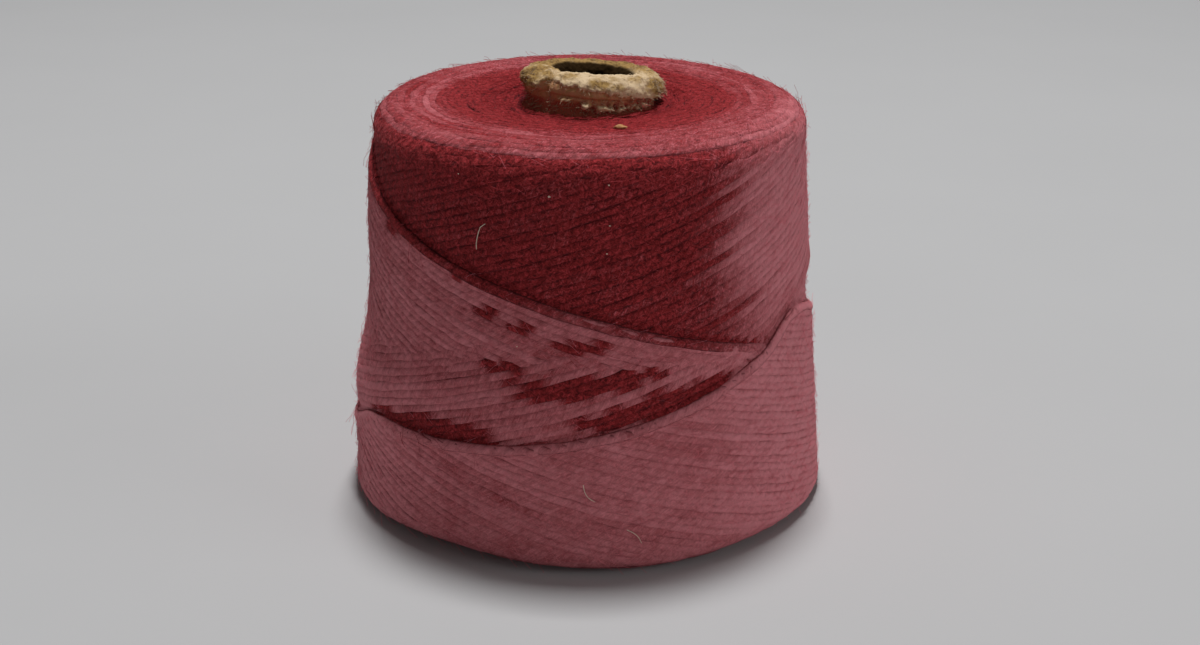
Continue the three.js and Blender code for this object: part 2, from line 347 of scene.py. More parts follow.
# The strands along the panels' edges: the edge, (first azimuth, last azimuth), their dives by
# azimuth, and each strand as (height above the edge, depth, girth, tone). The deeper strands
# close the hollows beside the ridge.
EDGE_STEP = 0.5
EDGE_STRANDS = [
    ("upper", (-137, 56), [(46, 56, 2.4), (-125, -137, 2.4)], [
        (-1.1, 0.1, 0.98, 0.4), (-2.7, 0.4, 1, 0.5), (0.4, 0.4, 1, 0.05), (1.8, 0.22, 1, 0),
    ]),
    ("upper", (48, 221), [(60, 48, 2), (208.5, 220.5, 2.4)], [
        (1.1, 0.1, 1, 0.3), (2.7, 0.4, 1, 0.2), (-0.4, 0.45, 1, 0.3), (-1.8, 0.25, 1, 0.4),
    ]),
    ("lower", (230, 596), [(238, 230, 2.2), (587.5, 595.5, 2.2)], [
        (-1, 0.1, 1, 0.6), (-2.6, 0.4, 1, 0.7), (0.4, 0.5, 1, 0.2), (1.8, 0.28, 1, 0.4),
    ]),
]

# ---- lights, materials and loose fibres -----------------------------------------------------

# The lights, in metres: (name, place, width, depth). Each has its power in the stage's look.
LIGHTS = [
    ("key", (0.04, 0.43, 2.5), 0.4, 0.42),
    ("side", (2.7, -1, 1.2), 1.6, 1.6),
    ("fill", (0.4, -3.2, 0.9), 2.8, 1),
]
LIGHTS_AIM = 0.06  # height that they look at
FLOOR_SIZE = 8
NEAREST_SEEN = 0.01

# Noise of the materials: (scale, detail, roughness). The first two are laid along the strands,
# and stretched by the three scales under them, two for a metre and one for half a strand.
FIBRE_NOISE = (1.0, 3.0, 0.65)
DASH_NOISE = (1.0, 2.0, 0.5)
ALONG_FIBRES, ALONG_DASHES = 500.0, 300.0
ACROSS_FIBRES = 2.6
FELT_NOISE = (1150.0, 4.0, 0.8)
BROAD_NOISE = (34.0, 3.0, 0.6)
PATCH_NOISE = (210.0, 3.0, 0.6)
FUZZ_NOISE = (500.0, 2.0, 0.6)
PALE_NOISE = (700.0, 2.0, 0.5)
FLOOR_NOISE = (9.0, 3.0, 0.5)
BLOTCH_NOISE = (300.0, 4.0, 0.7)
PULP_NOISE = (800.0, 3.0, 0.7)
FLECK_NOISE = (2300.0, 2.0, 0.6)

# Noise that carries another noise's place off: (scale, detail, reach in metres).
FELT_SWIRL = (420.0, 1.0, 0.0035)
PULP_SWIRL = (300.0, 2.0, 0.006)
FIBRE_WAVE = 420.0  # scale of the noise that bends loose fibres
FIBRE_POINTS = 4
FIBRE_SIDES = 3


# ---- the winding's surface ------------------------------------------------------------------

GRID = np.arange(0.0, 360.0, 0.25)


def closed_curve(table):
    """A closed Catmull-Rom curve through (azimuth, value) rows, sampled all round."""
    knots, values = np.array(sorted((azimuth % 360, value) for azimuth, value in table)).T
    gaps = np.diff(np.append(knots, knots[0] + 360))
    slopes = (np.roll(values, -1) - np.roll(values, 1)) / (gaps + np.roll(gaps, 1))
    index = np.searchsorted(knots, GRID, side="right") - 1
    after = (index + 1) % len(knots)
    gap = gaps[index]
    t = ((GRID - knots[index]) % 360) / gap
    turn = t * t * (3 - 2 * t)
    leave = gap * slopes[index] * t * (1 - t) ** 2
    arrive = gap * slopes[after] * t * t * (t - 1)
    return values[index] + (values[after] - values[index]) * turn + leave + arrive


CURVES = {
    "base": closed_curve(BASE_ROUNDING),
    "upper": closed_curve(UPPER_EDGE),
    "chevron": closed_curve(CHEVRON),
    "lower": closed_curve(LOWER_EDGE),
    "torn": closed_curve(TORN_LINE),
}
for column, name in enumerate(("outer", "hole", "widest", "crest"), 1):
    CURVES[name] = closed_curve([(row[0], row[column]) for row in RIM_ROLL])


def curve_at(name, azimuth):
    return np.interp(np.mod(azimuth, 360), GRID, CURVES[name], period=360)


def relief_at(table, above):
    heights, relief = zip(*table)
    return np.interp(above, heights, relief)


def turn_between(start, azimuth):
    """Signed angle from one azimuth to others, between -180 and 180 degrees."""
    return np.mod(np.asarray(azimuth) - start + 180, 360) - 180


def bell(distance, spread):
    return np.exp(-((distance / spread) ** 2))


def plateau(distance, spread):
    return np.exp(-((distance / spread) ** 4))


def smooth(value, low, high):
    """0 at `low`, 1 at `high`, which may be the lower one, and smooth between them."""
    t = np.clip((value - low) / (high - low), 0, 1)
    return t * t * (3 - 2 * t)


def rising_share(azimuth):
    """1 on the arm of the upper edge that rises behind the pinch, 0 on the falling arm."""
    after_pinch = np.clip(0.5 + turn_between(PINCH_AZIMUTH, azimuth) / ARM_BLEND, 0, 1)
    return after_pinch * np.clip(0.5 - turn_between(SHOULDER_AZIMUTH, azimuth) / ARM_BLEND, 0, 1)


def painted_sheen_at(azimuth, travel, stray=0):
    """How much more painted milky sheen the yarn has at a place than the rest of its panel.
    `stray` shifts a strand's share of the patches round the cone, which makes their edges ragged."""
    below_upper = curve_at("upper", azimuth) - travel
    width = RIDGE_WIDTH + RIDGE_WIDENING * smooth(turn_between(0, azimuth), *RIDGE_WIDENS)
    dust = RIDGE_SHEEN * plateau(below_upper, width) * (1 - rising_share(azimuth))
    for middle, level, azimuth_spread, travel_spread, more in PAINTED_SHEEN:
        weight = plateau(turn_between(middle, azimuth + stray), azimuth_spread)
        dust = dust + more * weight * plateau(travel - level, travel_spread)
    under_lower = travel < curve_at("lower", azimuth) + LOWER_EDGE_LAP
    return np.where(under_lower, np.maximum(dust, 0), dust)


def face_tone(travel):
    """How much painted milky sheen the shoulder and the top face carry, fading towards the core."""
    return SHOULDER_TONE - TOP_SHEEN_FADING * smooth(travel, *TOP_SHEEN_FADES)


def tone_at(azimuth, travel):
    """How much painted milky sheen the winding carries at a place."""
    tone = np.where(travel > curve_at("upper", azimuth), TONES["upper"], TONES["falling"])
    tone = np.where(travel < curve_at("lower", azimuth), TONES["bottom"], tone)
    return np.where(travel > FACE_START, face_tone(travel), tone) + painted_sheen_at(azimuth, travel)


def winding_relief(azimuth, height):
    """How far the winding stands off the plain cone."""
    above_upper = height - curve_at("upper", azimuth)
    above_lower = height - curve_at("lower", azimuth)
    open_upper = np.clip((above_lower - above_upper) / PINCH_FADE, 0, 1)
    open_shoulder = np.clip((SHOULDER - height + above_upper) / SHOULDER_FADE, 0, 1)
    rising = rising_share(azimuth)
    edge = relief_at(FALLING_RELIEF, above_upper) * (1 - rising)
    edge += relief_at(RISING_RELIEF, above_upper) * rising
    relief = edge * open_upper * open_shoulder
    relief += relief_at(CHEVRON_RELIEF, height - curve_at("chevron", azimuth)) * open_upper
    relief += relief_at(LOWER_RELIEF, above_lower)
    for middle, level, azimuth_spread, height_spread, swell in SWELLS:
        weight = bell(turn_between(middle, azimuth), azimuth_spread)
        relief += swell * weight * bell(height - level, height_spread)
    return np.clip(relief, DEEPEST_HOLLOW, HIGHEST_SWELL)


def outline(azimuth, travel):
    """Radius and height of the winding's surface."""
    rounding = curve_at("base", azimuth)
    low = np.clip((rounding - travel) / rounding, 0, math.pi / 2)
    high = np.clip((travel - SHOULDER) / SHOULDER_ROUNDING, 0, math.pi / 2)
    height = np.clip(travel, rounding, SHOULDER)
    height = height - rounding * np.sin(low) + SHOULDER_ROUNDING * np.sin(high)
    inset = rounding * (1 - np.cos(low)) + SHOULDER_ROUNDING * (1 - np.cos(high))
    radius = WINDING_BASE_RADIUS - height * math.tan(TAPER) - inset
    radius = radius + winding_relief(azimuth, height)
    along_top = np.maximum(travel - TOP_FACE_START, 0)
    along_base = np.maximum(rounding * (1 - math.pi / 2) - travel, 0)
    dish = TOP_DISH * np.clip(along_top / TOP_FACE_WIDTH, 0, 1) ** DISH_CURVE
    return radius - along_top - along_base, height - dish


def surface(azimuth, travel, depth):
    """Points that lie `depth` under the winding's surface, and the way out there."""
    reach = 0.8
    radius, height = outline(azimuth, travel)
    radius_before, height_before = outline(azimuth, travel - reach)
    radius_after, height_after = outline(azimuth, travel + reach)
    out, up = height_after - height_before, radius_before - radius_after
    length = np.hypot(out, up)
    out, up = out / length, up / length
    angle = np.radians(azimuth)
    across, along = np.sin(angle), -np.cos(angle)
    radius, height = radius - depth * out, height - depth * up
    points = np.stack([radius * across, radius * along, height], axis=-1)
    return points, np.stack([out * across, out * along, up], axis=-1)


# ---- strands --------------------------------------------------------------------------------


def wander(rng, along, reach, size):
    """A smooth random wander along a strand, about `size` either way."""
    place = along / reach + rng.uniform()
    knots = rng.normal(0, size, int(place[-1]) + 3)
    index = place.astype(int)
    share = place - index
    share = share * share * (3 - 2 * share)
    return knots[index] * (1 - share) + knots[index + 1] * share


class Strands:
    """Centre lines of yarn, with what their tubes need at every point."""

    def __init__(self, seed, thickness, step=STRAND_STEP, uneven=1.0):
        self.rng = np.random.default_rng(seed)
        self.thickness = thickness
        self.step = step
        self.uneven = uneven
        self.runs = []

    def lay(self, azimuth, travel, depth, girth=1.0, tone=0.5):
        """Lays one strand whose crest is `depth` under the surface."""
        points, _ = surface(azimuth, travel, depth)
        along = np.append(0, np.cumsum(np.linalg.norm(np.diff(points, axis=0), axis=1)))
        if along[-1] < FEWEST_STEPS * self.step:
            return
        even = np.linspace(0, along[-1], int(along[-1] / self.step) + 1)
        azimuth, travel, depth = (np.interp(even, along, v) for v in (azimuth, travel, depth))
        rng, uneven = self.rng, self.uneven
        travel = travel + rng.normal(0, SIDE_JITTER) * uneven
        travel = travel + wander(rng, even, *SIDE_WANDER) * uneven
        depth = depth + np.abs(rng.normal(0, DEPTH_JITTER)) * uneven
        depth = depth + wander(rng, even, *DEPTH_WANDER) * uneven
        swelling = rng.normal(0, GIRTH_JITTER) + wander(rng, even, *GIRTH_WANDER) * uneven
        girth = girth * (1 + swelling)
        points, outward = surface(azimuth, travel, depth + self.thickness / 2)
        # The strand's painted milky sheen, which its shade carries with its panel's tone.
        dust = painted_sheen_at(azimuth, travel, rng.normal(0, PATCH_STRAY))
        shade = tone + dust + rng.normal(0, TONE_JITTER) + wander(rng, even, *TONE_WANDER)
        start = rng.uniform(*TWIST_STARTS)
        self.runs.append((points, outward, girth, even + start, shade))

    def object(self, name):
        """The centre lines as one mesh of edges, in metres."""
        counts = [len(run[0]) for run in self.runs]
        points, outward, girth, along, shade = (np.concatenate(part) for part in zip(*self.runs))
        last = np.cumsum(counts) - 1
        starts = np.delete(np.arange(len(points)), last)
        mesh = bpy.data.meshes.new(name)
        mesh.vertices.add(len(points))
        mesh.vertices.foreach_set("co", (points * MM).ravel())
        mesh.edges.add(len(starts))
        mesh.edges.foreach_set("vertices", np.stack([starts, starts + 1], axis=1).ravel())
        store(mesh, {"outward": outward, "girth": girth, "along": along * MM, "shade": shade})
        mesh.update()
        return placed(name, mesh)


def store(mesh, attributes):
    """Puts values on a mesh's points as named attributes, three for a point as a vector."""
    for name, values in attributes.items():
        wide = np.size(values) == 3 * len(mesh.vertices)
        attribute = mesh.attributes.new(name, "FLOAT_VECTOR" if wide else "FLOAT", "POINT")
        flat = np.asarray(values, np.float32).ravel()
        attribute.data.foreach_set("vector" if wide else "value", flat)


def placed(name, mesh):
    """An object for a mesh, at the origin."""
    piece = bpy.data.objects.new(name, mesh)
    bpy.context.scene.collection.objects.link(piece)
    return piece


def level_out(height):
    """Travel of a strand that turns level towards the shoulder or the lower edge, and how far
    it has gone under its neighbours."""
    high = np.maximum(height - TURN_START, 0)
    low = np.maximum(BASE_TURN_START - height, 0)
    travel = np.clip(height, BASE_TURN_START, TURN_START)
    travel = travel + TURN_REACH * (1 - np.exp(-high / TURN_REACH))
    travel = travel - BASE_TURN_REACH * (1 - np.exp(-low / BASE_TURN_REACH))
    under = np.maximum(high - TURN_SUNK, 0) + np.maximum(low - BASE_TURN_SUNK, 0)
    return travel, under * SUNK_SLOPE


def lay_family(strands, way, inside_by, ragged, tone):
    """Lays the turns of one helix family wherever they come up inside a panel.

    `way` is 1 for strands that rise with the azimuth and -1 for those that fall. `inside_by` is
    the height by which a place is inside the panel. Outside it the strands sink under their
    neighbours. `ragged` is how far a strand's ends stray from the panel's edge."""
    rng = strands.rng
    rise = np.arange(*FAMILY_RISE, STRAND_SLOPE / 2)
    for turn in range(STRAND_COUNT):
        start = 360 / STRAND_COUNT * (turn + rng.normal(0, FAMILY_JITTER))
        azimuth = start + way * rise / STRAND_SLOPE
        inside = inside_by(azimuth, rise, rng.uniform(*FAMILY_STRAY) * ragged)
        seen = np.concatenate([[0], inside > -TUCK_REACH, [0]]).astype(int)
        for first, last in np.flatnonzero(np.diff(seen)).reshape(-1, 2):
            travel, under = level_out(rise[first:last])
            tuck = np.maximum(-inside[first:last], 0) * TUCK_SLOPE
            strands.lay(azimuth[first:last], travel, under + tuck, tone=tone)


def arm_lap(azimuth, on_rising, on_falling):
    rising = rising_share(azimuth)
    return on_rising * rising + on_falling * (1 - rising)


def upper_panel(azimuth, height, stray):
    above_upper = height - curve_at("upper", azimuth) - arm_lap(azimuth, EDGE_LAP, DIVE_LAP)
    above_lower = height - curve_at("lower", azimuth) - DIVE_LAP
    return np.minimum(above_upper + stray * EDGE_STRAY, above_lower)


def middle_panel(azimuth, height):
    below_upper = curve_at("upper", azimuth) + arm_lap(azimuth, -DIVE_LAP, -EDGE_LAP) - height
    return np.minimum(below_upper, height - curve_at("lower", azimuth) - DIVE_LAP)


def middle_falling(azimuth, height, stray):
    above_chevron = height - curve_at("chevron", azimuth) + stray
    return np.minimum(middle_panel(azimuth, height), above_chevron)


def middle_rising(azimuth, height, stray):
    below_chevron = curve_at("chevron", azimuth) - height + stray
    return np.minimum(middle_panel(azimuth, height), below_chevron)


def bottom_panel(azimuth, height, stray):
    return curve_at("lower", azimuth) - EDGE_LAP - height + stray * EDGE_STRAY


def dive(place, dives):
    """How far strands go under their neighbours at a place, by the rows of a table of dives."""
    return sum(smooth(place, start, end) * depth for start, end, depth in dives)


def lay_edges(strands):
    """The strands that lie along the panels' edges and make their ridges."""
    for edge, span, dives, rows in EDGE_STRANDS:
        around = np.arange(*span, EDGE_STEP)
        sink = dive(around, dives)
        for above, depth, girth, tone in rows:
            strands.lay(around, curve_at(edge, around) + above, sink + depth, girth, tone)


def lay_rings(strands, face, pitch, tone_of, sink_of):
    """Level arcs of yarn that wander a little, end under their neighbours and cover a face."""
    rng = strands.rng
    first, last = face
    for level in np.arange(first, last, pitch):
        start = rng.uniform(0, 360)
        covered = 0
        while covered < 360:
            sweep = rng.uniform(*RING_SWEEP)
            angle = np.arange(0, sweep + RING_OVERLAP, 1.0)
            ends = np.minimum(angle, angle[-1] - angle)
            drift = rng.normal(0, RING_DRIFT) * (angle / sweep - 0.5) + rng.normal(0, RING_JITTER)
            place = np.minimum(level + drift + wander(rng, angle, *RING_WANDER), last)
            sink = dive(ends, RING_DIVES) + np.abs(rng.normal(0, RING_DEPTH_JITTER))
            sink = sink + sink_of(place)
            strands.lay(start + covered + angle, place, sink, RING_GIRTH, tone_of(level))
            covered += sweep


# ---- graphs of nodes ------------------------------------------------------------------------


class Wire:
    """A node's output that arithmetic can be done on. Each operator adds a Math node."""

    def __init__(self, graph, node, output=0):
        self.graph = graph
        self.node = node
        self.socket = graph.socket(node.outputs, output)

    def output(self, name):
        return Wire(self.graph, self.node, name)

    def __add__(self, other):
        return self.graph.maths("ADD", self, other)

    def __sub__(self, other):
        return self.graph.maths("SUBTRACT", self, other)

    def __rsub__(self, other):
        return self.graph.maths("SUBTRACT", other, self)

    def __mul__(self, other):
        return self.graph.maths("MULTIPLY", self, other)


class Graph:
    """A node tree that is being built."""

    def __init__(self, tree):
        self.tree = tree

    def add(self, kind, values=None, output=0, **settings):
        """A new node: its settings first, then the values or links of its sockets."""
        node = self.tree.nodes.new(kind)
        for name, setting in settings.items():
            setattr(node, name, setting)
        for name, value in (values or {}).items():
            socket = self.socket(node.inputs, name)
            if isinstance(value, Wire):
                self.tree.links.new(value.socket, socket)
            else:
                socket.default_value = value
        return Wire(self, node, output) if node.outputs else None

    @staticmethod
    def socket(sockets, name):
        """The socket of this number, identifier or name."""
        if isinstance(name, int):
            return sockets[name]
        for socket in sockets:
            if socket.identifier == name:
                return socket
        return sockets[name]

    def maths(self, operation, first, second=0.0):
        return self.add("ShaderNodeMath", {0: first, 1: second}, operation=operation)

    def vector(self, x, y, z):
        return self.add("ShaderNodeCombineXYZ", {"X": x, "Y": y, "Z": z})

    def mix(self, factor, first, second):
        values = {"Factor_Float": factor, "A_Color": first, "B_Color": second}
        return self.add("ShaderNodeMix", values, "Result_Color", data_type="RGBA")

    def step(self, value, low, high):
        """0 at `low`, 1 at `high`, which may be the lower one, and smooth between them."""
        values = {"Value": value, "From Min": min(low, high), "From Max": max(low, high)}
        if low > high:
            values.update({"To Min": 1.0, "To Max": 0.0})
        return self.add("ShaderNodeMapRange", values, interpolation_type="SMOOTHSTEP")

    def noise(self, place, scale, detail, roughness, output=0):
        values = {"Vector": place, "Scale": scale, "Detail": detail, "Roughness": roughness}
        return self.add("ShaderNodeTexNoise", values, output)

    def attribute(self, name):
        return self.add("ShaderNodeAttribute", output="Fac", attribute_name=name)

    def named(self, name, kind="FLOAT"):
        return self.add("GeometryNodeInputNamedAttribute", {"Name": name}, data_type=kind)

    def circle(self, sides, radius):
        values = {"Resolution": sides, "Radius": radius}
        return self.add("GeometryNodeCurvePrimitiveCircle", values)

    def object_place(self):
        return self.add("ShaderNodeTexCoord", output="Object")

    def swept(self, place, scale, detail, reach):
        """A place that swirling noise carries off by up to `reach`."""
        swirl = self.noise(place, scale, detail, 0.5, "Color")
        values = {0: swirl, 1: (reach, reach, reach), 2: place}
        return self.add("ShaderNodeVectorMath", values, operation="MULTIPLY_ADD")

    def bump(self, height, strength, distance):
        values = {"Strength": strength, "Distance": distance, "Height": height}
        return self.add("ShaderNodeBump", values)


def material_graph(name):
    """A new material with an empty graph, and that graph."""
    material = bpy.data.materials.new(name)
    material.use_nodes = True
    material.node_tree.nodes.clear()
    return material, Graph(material.node_tree)


def finish_surface(graph, colour, roughness, specular, more=None):
    values = {"Base Color": colour, "Roughness": roughness, "Specular IOR Level": specular}
    shader = graph.add("ShaderNodeBsdfPrincipled", {**values, **(more or {})})
    graph.add("ShaderNodeOutputMaterial", {"Surface": shader})


# ---- materials ------------------------------------------------------------------------------


def yarn_material(name, look):
    """Soft spun yarn: fibres that twist along each strand under a felt of loose fuzz, with dark,
    broken valleys of painted shade between the strands, and a painted milky sheen where it is pale."""
    material, graph = material_graph(name)
    along, crest, side = (graph.attribute(n) for n in ("along", "crest", "side"))
    shade = graph.attribute("shade")
    angle = along * (2 * math.pi / look.twist_length)
    cosine, sine = graph.maths("COSINE", angle), graph.maths("SINE", angle)
    lay = crest * cosine - side * sine
    lap = crest * sine + side * cosine
    fibre_place = graph.vector(along * ALONG_FIBRES, lay * ACROSS_FIBRES, lap * ACROSS_FIBRES)
    fibres = graph.noise(fibre_place, *FIBRE_NOISE)
    place = graph.object_place()
    fuzz = graph.noise(graph.swept(place, *FELT_SWIRL), *FELT_NOISE)
    broad = graph.noise(place, *BROAD_NOISE)
    patches = graph.noise(place, *PATCH_NOISE)
    # How much painted milky sheen a place carries, from the strands' shade attribute. As the tone
    # rises, the colour pales towards the sheen's pink.
    milky = graph.step(shade + (patches - 0.5) * 0.5, 0.05, 0.6)
    tone = shade + (fibres - 0.5) * 0.8 + (broad - 0.5) * 0.4 + (patches - 0.5) * 0.4
    light = graph.mix(graph.step(tone, 0.05, 1.0), look.yarn_mid, look.yarn_light)
    loose = graph.mix(graph.step(tone, 0.0, 0.6), look.fuzz_crimson, look.fuzz_milky)
    # The deep colour: painted shade between the strands, and also the felt's dark specks.
    deep = graph.mix(milky, look.yarn_deep_and_shade, look.milky_deep_and_shade)
    light = graph.mix(graph.step(fuzz, 0.50, 0.62) * (1.0 - milky * 0.5), light, loose)
    light = graph.mix(graph.step(fuzz, 0.50, 0.38) * (0.95 - milky * 0.7), light, deep)
    # Painted shade in the valleys between the strands, broken into dashes.
    dashes = graph.noise(graph.vector(along * ALONG_DASHES, crest, side), *DASH_NOISE)
    valley_shade = graph.step(crest + (fuzz - 0.5) * 0.7 + (patches - 0.5) * 0.3, 0.92, 0.62)
    dashed = graph.step(dashes, 0.42, 0.58) * (0.85 - milky * 0.5) + 0.1
    light = graph.mix(valley_shade * dashed, light, deep)
    # Painted shade in the gaps, where the strands' sides and the body under them show.
    gap = graph.step(crest + (fuzz - 0.5) * 1.2, 0.5, 0.0)
    colour = graph.mix(gap, light, graph.mix(milky * 0.7, look.yarn_deep_and_shade, deep))
    ply = lay * lap * 2.0
    height = (ply * 0.3 + fibres * 0.5 + fuzz * 0.7 + patches * 0.35) * (1.1 - milky * 0.4)
    finish_surface(graph, colour, roughness=0.92, specular=0.15, more={
        "Sheen Weight": 0.08,
        "Sheen Roughness": 0.5,
        "Sheen Tint": look.sheen_tint,
        "Normal": graph.bump(height, strength=0.9, distance=0.0007),
    })
    return material


def paper_material(name, look):
    """Rough pulp paper: light where the outer layer is whole, browner where it is torn off, and
    dark with painted shade inside the roll and down the bore.
    """
    material, graph = material_graph(name)
    layer, stain, lint, bore = (graph.attribute(n) for n in ("layer", "stain", "lint", "bore"))
    place = graph.object_place()
    stretched = graph.add("ShaderNodeMapping", {"Vector": place, "Scale": (1.0, 1.0, 2.2)})
    blotches = graph.noise(stretched, *BLOTCH_NOISE)
    pulp = graph.noise(graph.swept(place, *PULP_SWIRL), *PULP_NOISE)
    flecks = graph.noise(place, *FLECK_NOISE)
    bare = graph.step(blotches * 1.2 - stain * 0.8, 0.18, 0.68)
    warm = graph.mix(bare, look.paper_olive, look.paper_light)
    pits = graph.step(pulp + stain * 0.22 + blotches * 0.3, 0.72, 0.94)
    warm = graph.mix(pits * 0.7, warm, look.paper_dark)
    torn = graph.mix(graph.step(pulp, 0.25, 0.6), look.paper_olive, look.paper_inner)
    colour = graph.mix(graph.step(layer + pulp * 0.3 - 0.15, 0.35, 0.65), torn, warm)
    tinted = graph.step(lint + blotches * 0.7 + flecks * 0.4 - 0.55, 0.3, 0.8)
    colour = graph.mix(tinted * 0.7, colour, look.lint_colour)
    # Painted shade inside the roll and down the bore.
    colour = graph.mix(bore, colour, look.bore_shade_colour)
    height = blotches * 0.5 + pulp * 0.45 + flecks * 0.2
    normal = graph.bump(height, strength=0.7, distance=0.0005)
    finish_surface(graph, colour, roughness=0.93, specular=0.08, more={"Normal": normal})
    return material


def fuzz_material(name, look):
    """Loose fibres of the yarn: crimson, and mostly pale pink where the yarn carries painted
    milky sheen.
    """
    material, graph = material_graph(name)
    mottle = graph.noise(graph.object_place(), *FUZZ_NOISE)
    crimson = graph.mix(graph.step(mottle, 0.35, 0.65), look.yarn_mid, look.fuzz_crimson)
    # How much painted milky sheen the yarn carries where the fibres grow.
    milky = graph.step(graph.attribute("dust") + (mottle - 0.5) * 1.4, 0.0, 0.7)
    colour = graph.mix(milky, crimson, look.fuzz_milky)
    finish_surface(graph, colour, roughness=0.9, specular=0.2)
    return material


def mottled_material(name, colour, mottling, darkest, roughness, specular):
    """One colour with a mottle. `mottling` is its noise, and `darkest` is how bright its darkest
    parts are."""
    material, graph = material_graph(name)
    mottle = graph.noise(graph.object_place(), *mottling)
    dark = [channel * darkest for channel in colour[:3]] + [1.0]
    finish_surface(graph, graph.mix(mottle, dark, list(colour)), roughness, specular)
    return material


def pale_material(name, colour):
    """Loose pale fibres and specks."""
    return mottled_material(name, colour, PALE_NOISE, darkest=0.6, roughness=0.7, specular=0.3)


# ---- Geometry Nodes -------------------------------------------------------------------------


def geometry_graph(name, inputs):
    """A new Geometry Nodes tree with named inputs, its graph, and the wires of its inputs."""
    tree = bpy.data.node_groups.new(name, "GeometryNodeTree")
    tree.interface.new_socket("Geometry", in_out="INPUT", socket_type="NodeSocketGeometry")
    for label, kind in inputs:
        tree.interface.new_socket(label, in_out="INPUT", socket_type="NodeSocket" + kind)
    tree.interface.new_socket("Geometry", in_out="OUTPUT", socket_type="NodeSocketGeometry")
    graph = Graph(tree)
    start = graph.add("NodeGroupInput", output="Geometry")
    wires = {label: start.output(label) for label, _ in inputs}
    return tree, graph, start, wires


def rested(graph, geometry, least):
    """Geometry whose points come no lower than `least` over the ground."""
    spot = graph.add("ShaderNodeSeparateXYZ", {0: graph.add("GeometryNodeInputPosition")})
    height = graph.maths("MAXIMUM", spot.output("Z"), least)
    place = graph.vector(spot.output("X"), spot.output("Y"), height)
    return graph.add("GeometryNodeSetPosition", {"Geometry": geometry, "Position": place})


def strand_tree():
    """Turns centre lines into closed tubes of an oval section, flat side to the winding."""
    tree, graph, lines, wires = geometry_graph("yarn strands", [
        ("Width", "Float"),
        ("Thickness", "Float"),
        ("Sides", "Int"),
        ("Material", "Material"),
    ])
    curve = graph.add("GeometryNodeMeshToCurve", {"Mesh": lines})
    normal = graph.named("outward", "FLOAT_VECTOR")
    values = {"Curve": curve, "Normal": normal}
    curve = graph.add("GeometryNodeSetCurveNormal", values, mode="FREE")
    profile = graph.circle(wires["Sides"], 1.0)
    place = graph.add("ShaderNodeSeparateXYZ", {0: graph.add("GeometryNodeInputPosition")})
    for name, axis in (("crest", "X"), ("side", "Y")):
        profile = graph.add("GeometryNodeStoreNamedAttribute", {
            "Geometry": profile,
            "Name": name,
            "Value": place.output(axis),
        })
    half = graph.vector(wires["Thickness"] * 0.5, wires["Width"] * 0.5, 1.0)
    profile = graph.add("GeometryNodeTransform", {"Geometry": profile, "Scale": half})
    tube = graph.add("GeometryNodeCurveToMesh", {
        "Curve": curve,
        "Profile Curve": profile,
        "Scale": graph.named("girth"),
        "Fill Caps": True,
    })
    finish_geometry(graph, rested(graph, tube, GROUND_GAP), wires["Material"])
    return tree


def finish_geometry(graph, mesh, material):
    smooth_mesh = graph.add("GeometryNodeSetShadeSmooth", {"Geometry": mesh})
    real = graph.add("GeometryNodeRealizeInstances", {"Geometry": smooth_mesh})
    done = graph.add("GeometryNodeSetMaterial", {"Geometry": real, "Material": material})
    graph.add("NodeGroupOutput", {"Geometry": done})


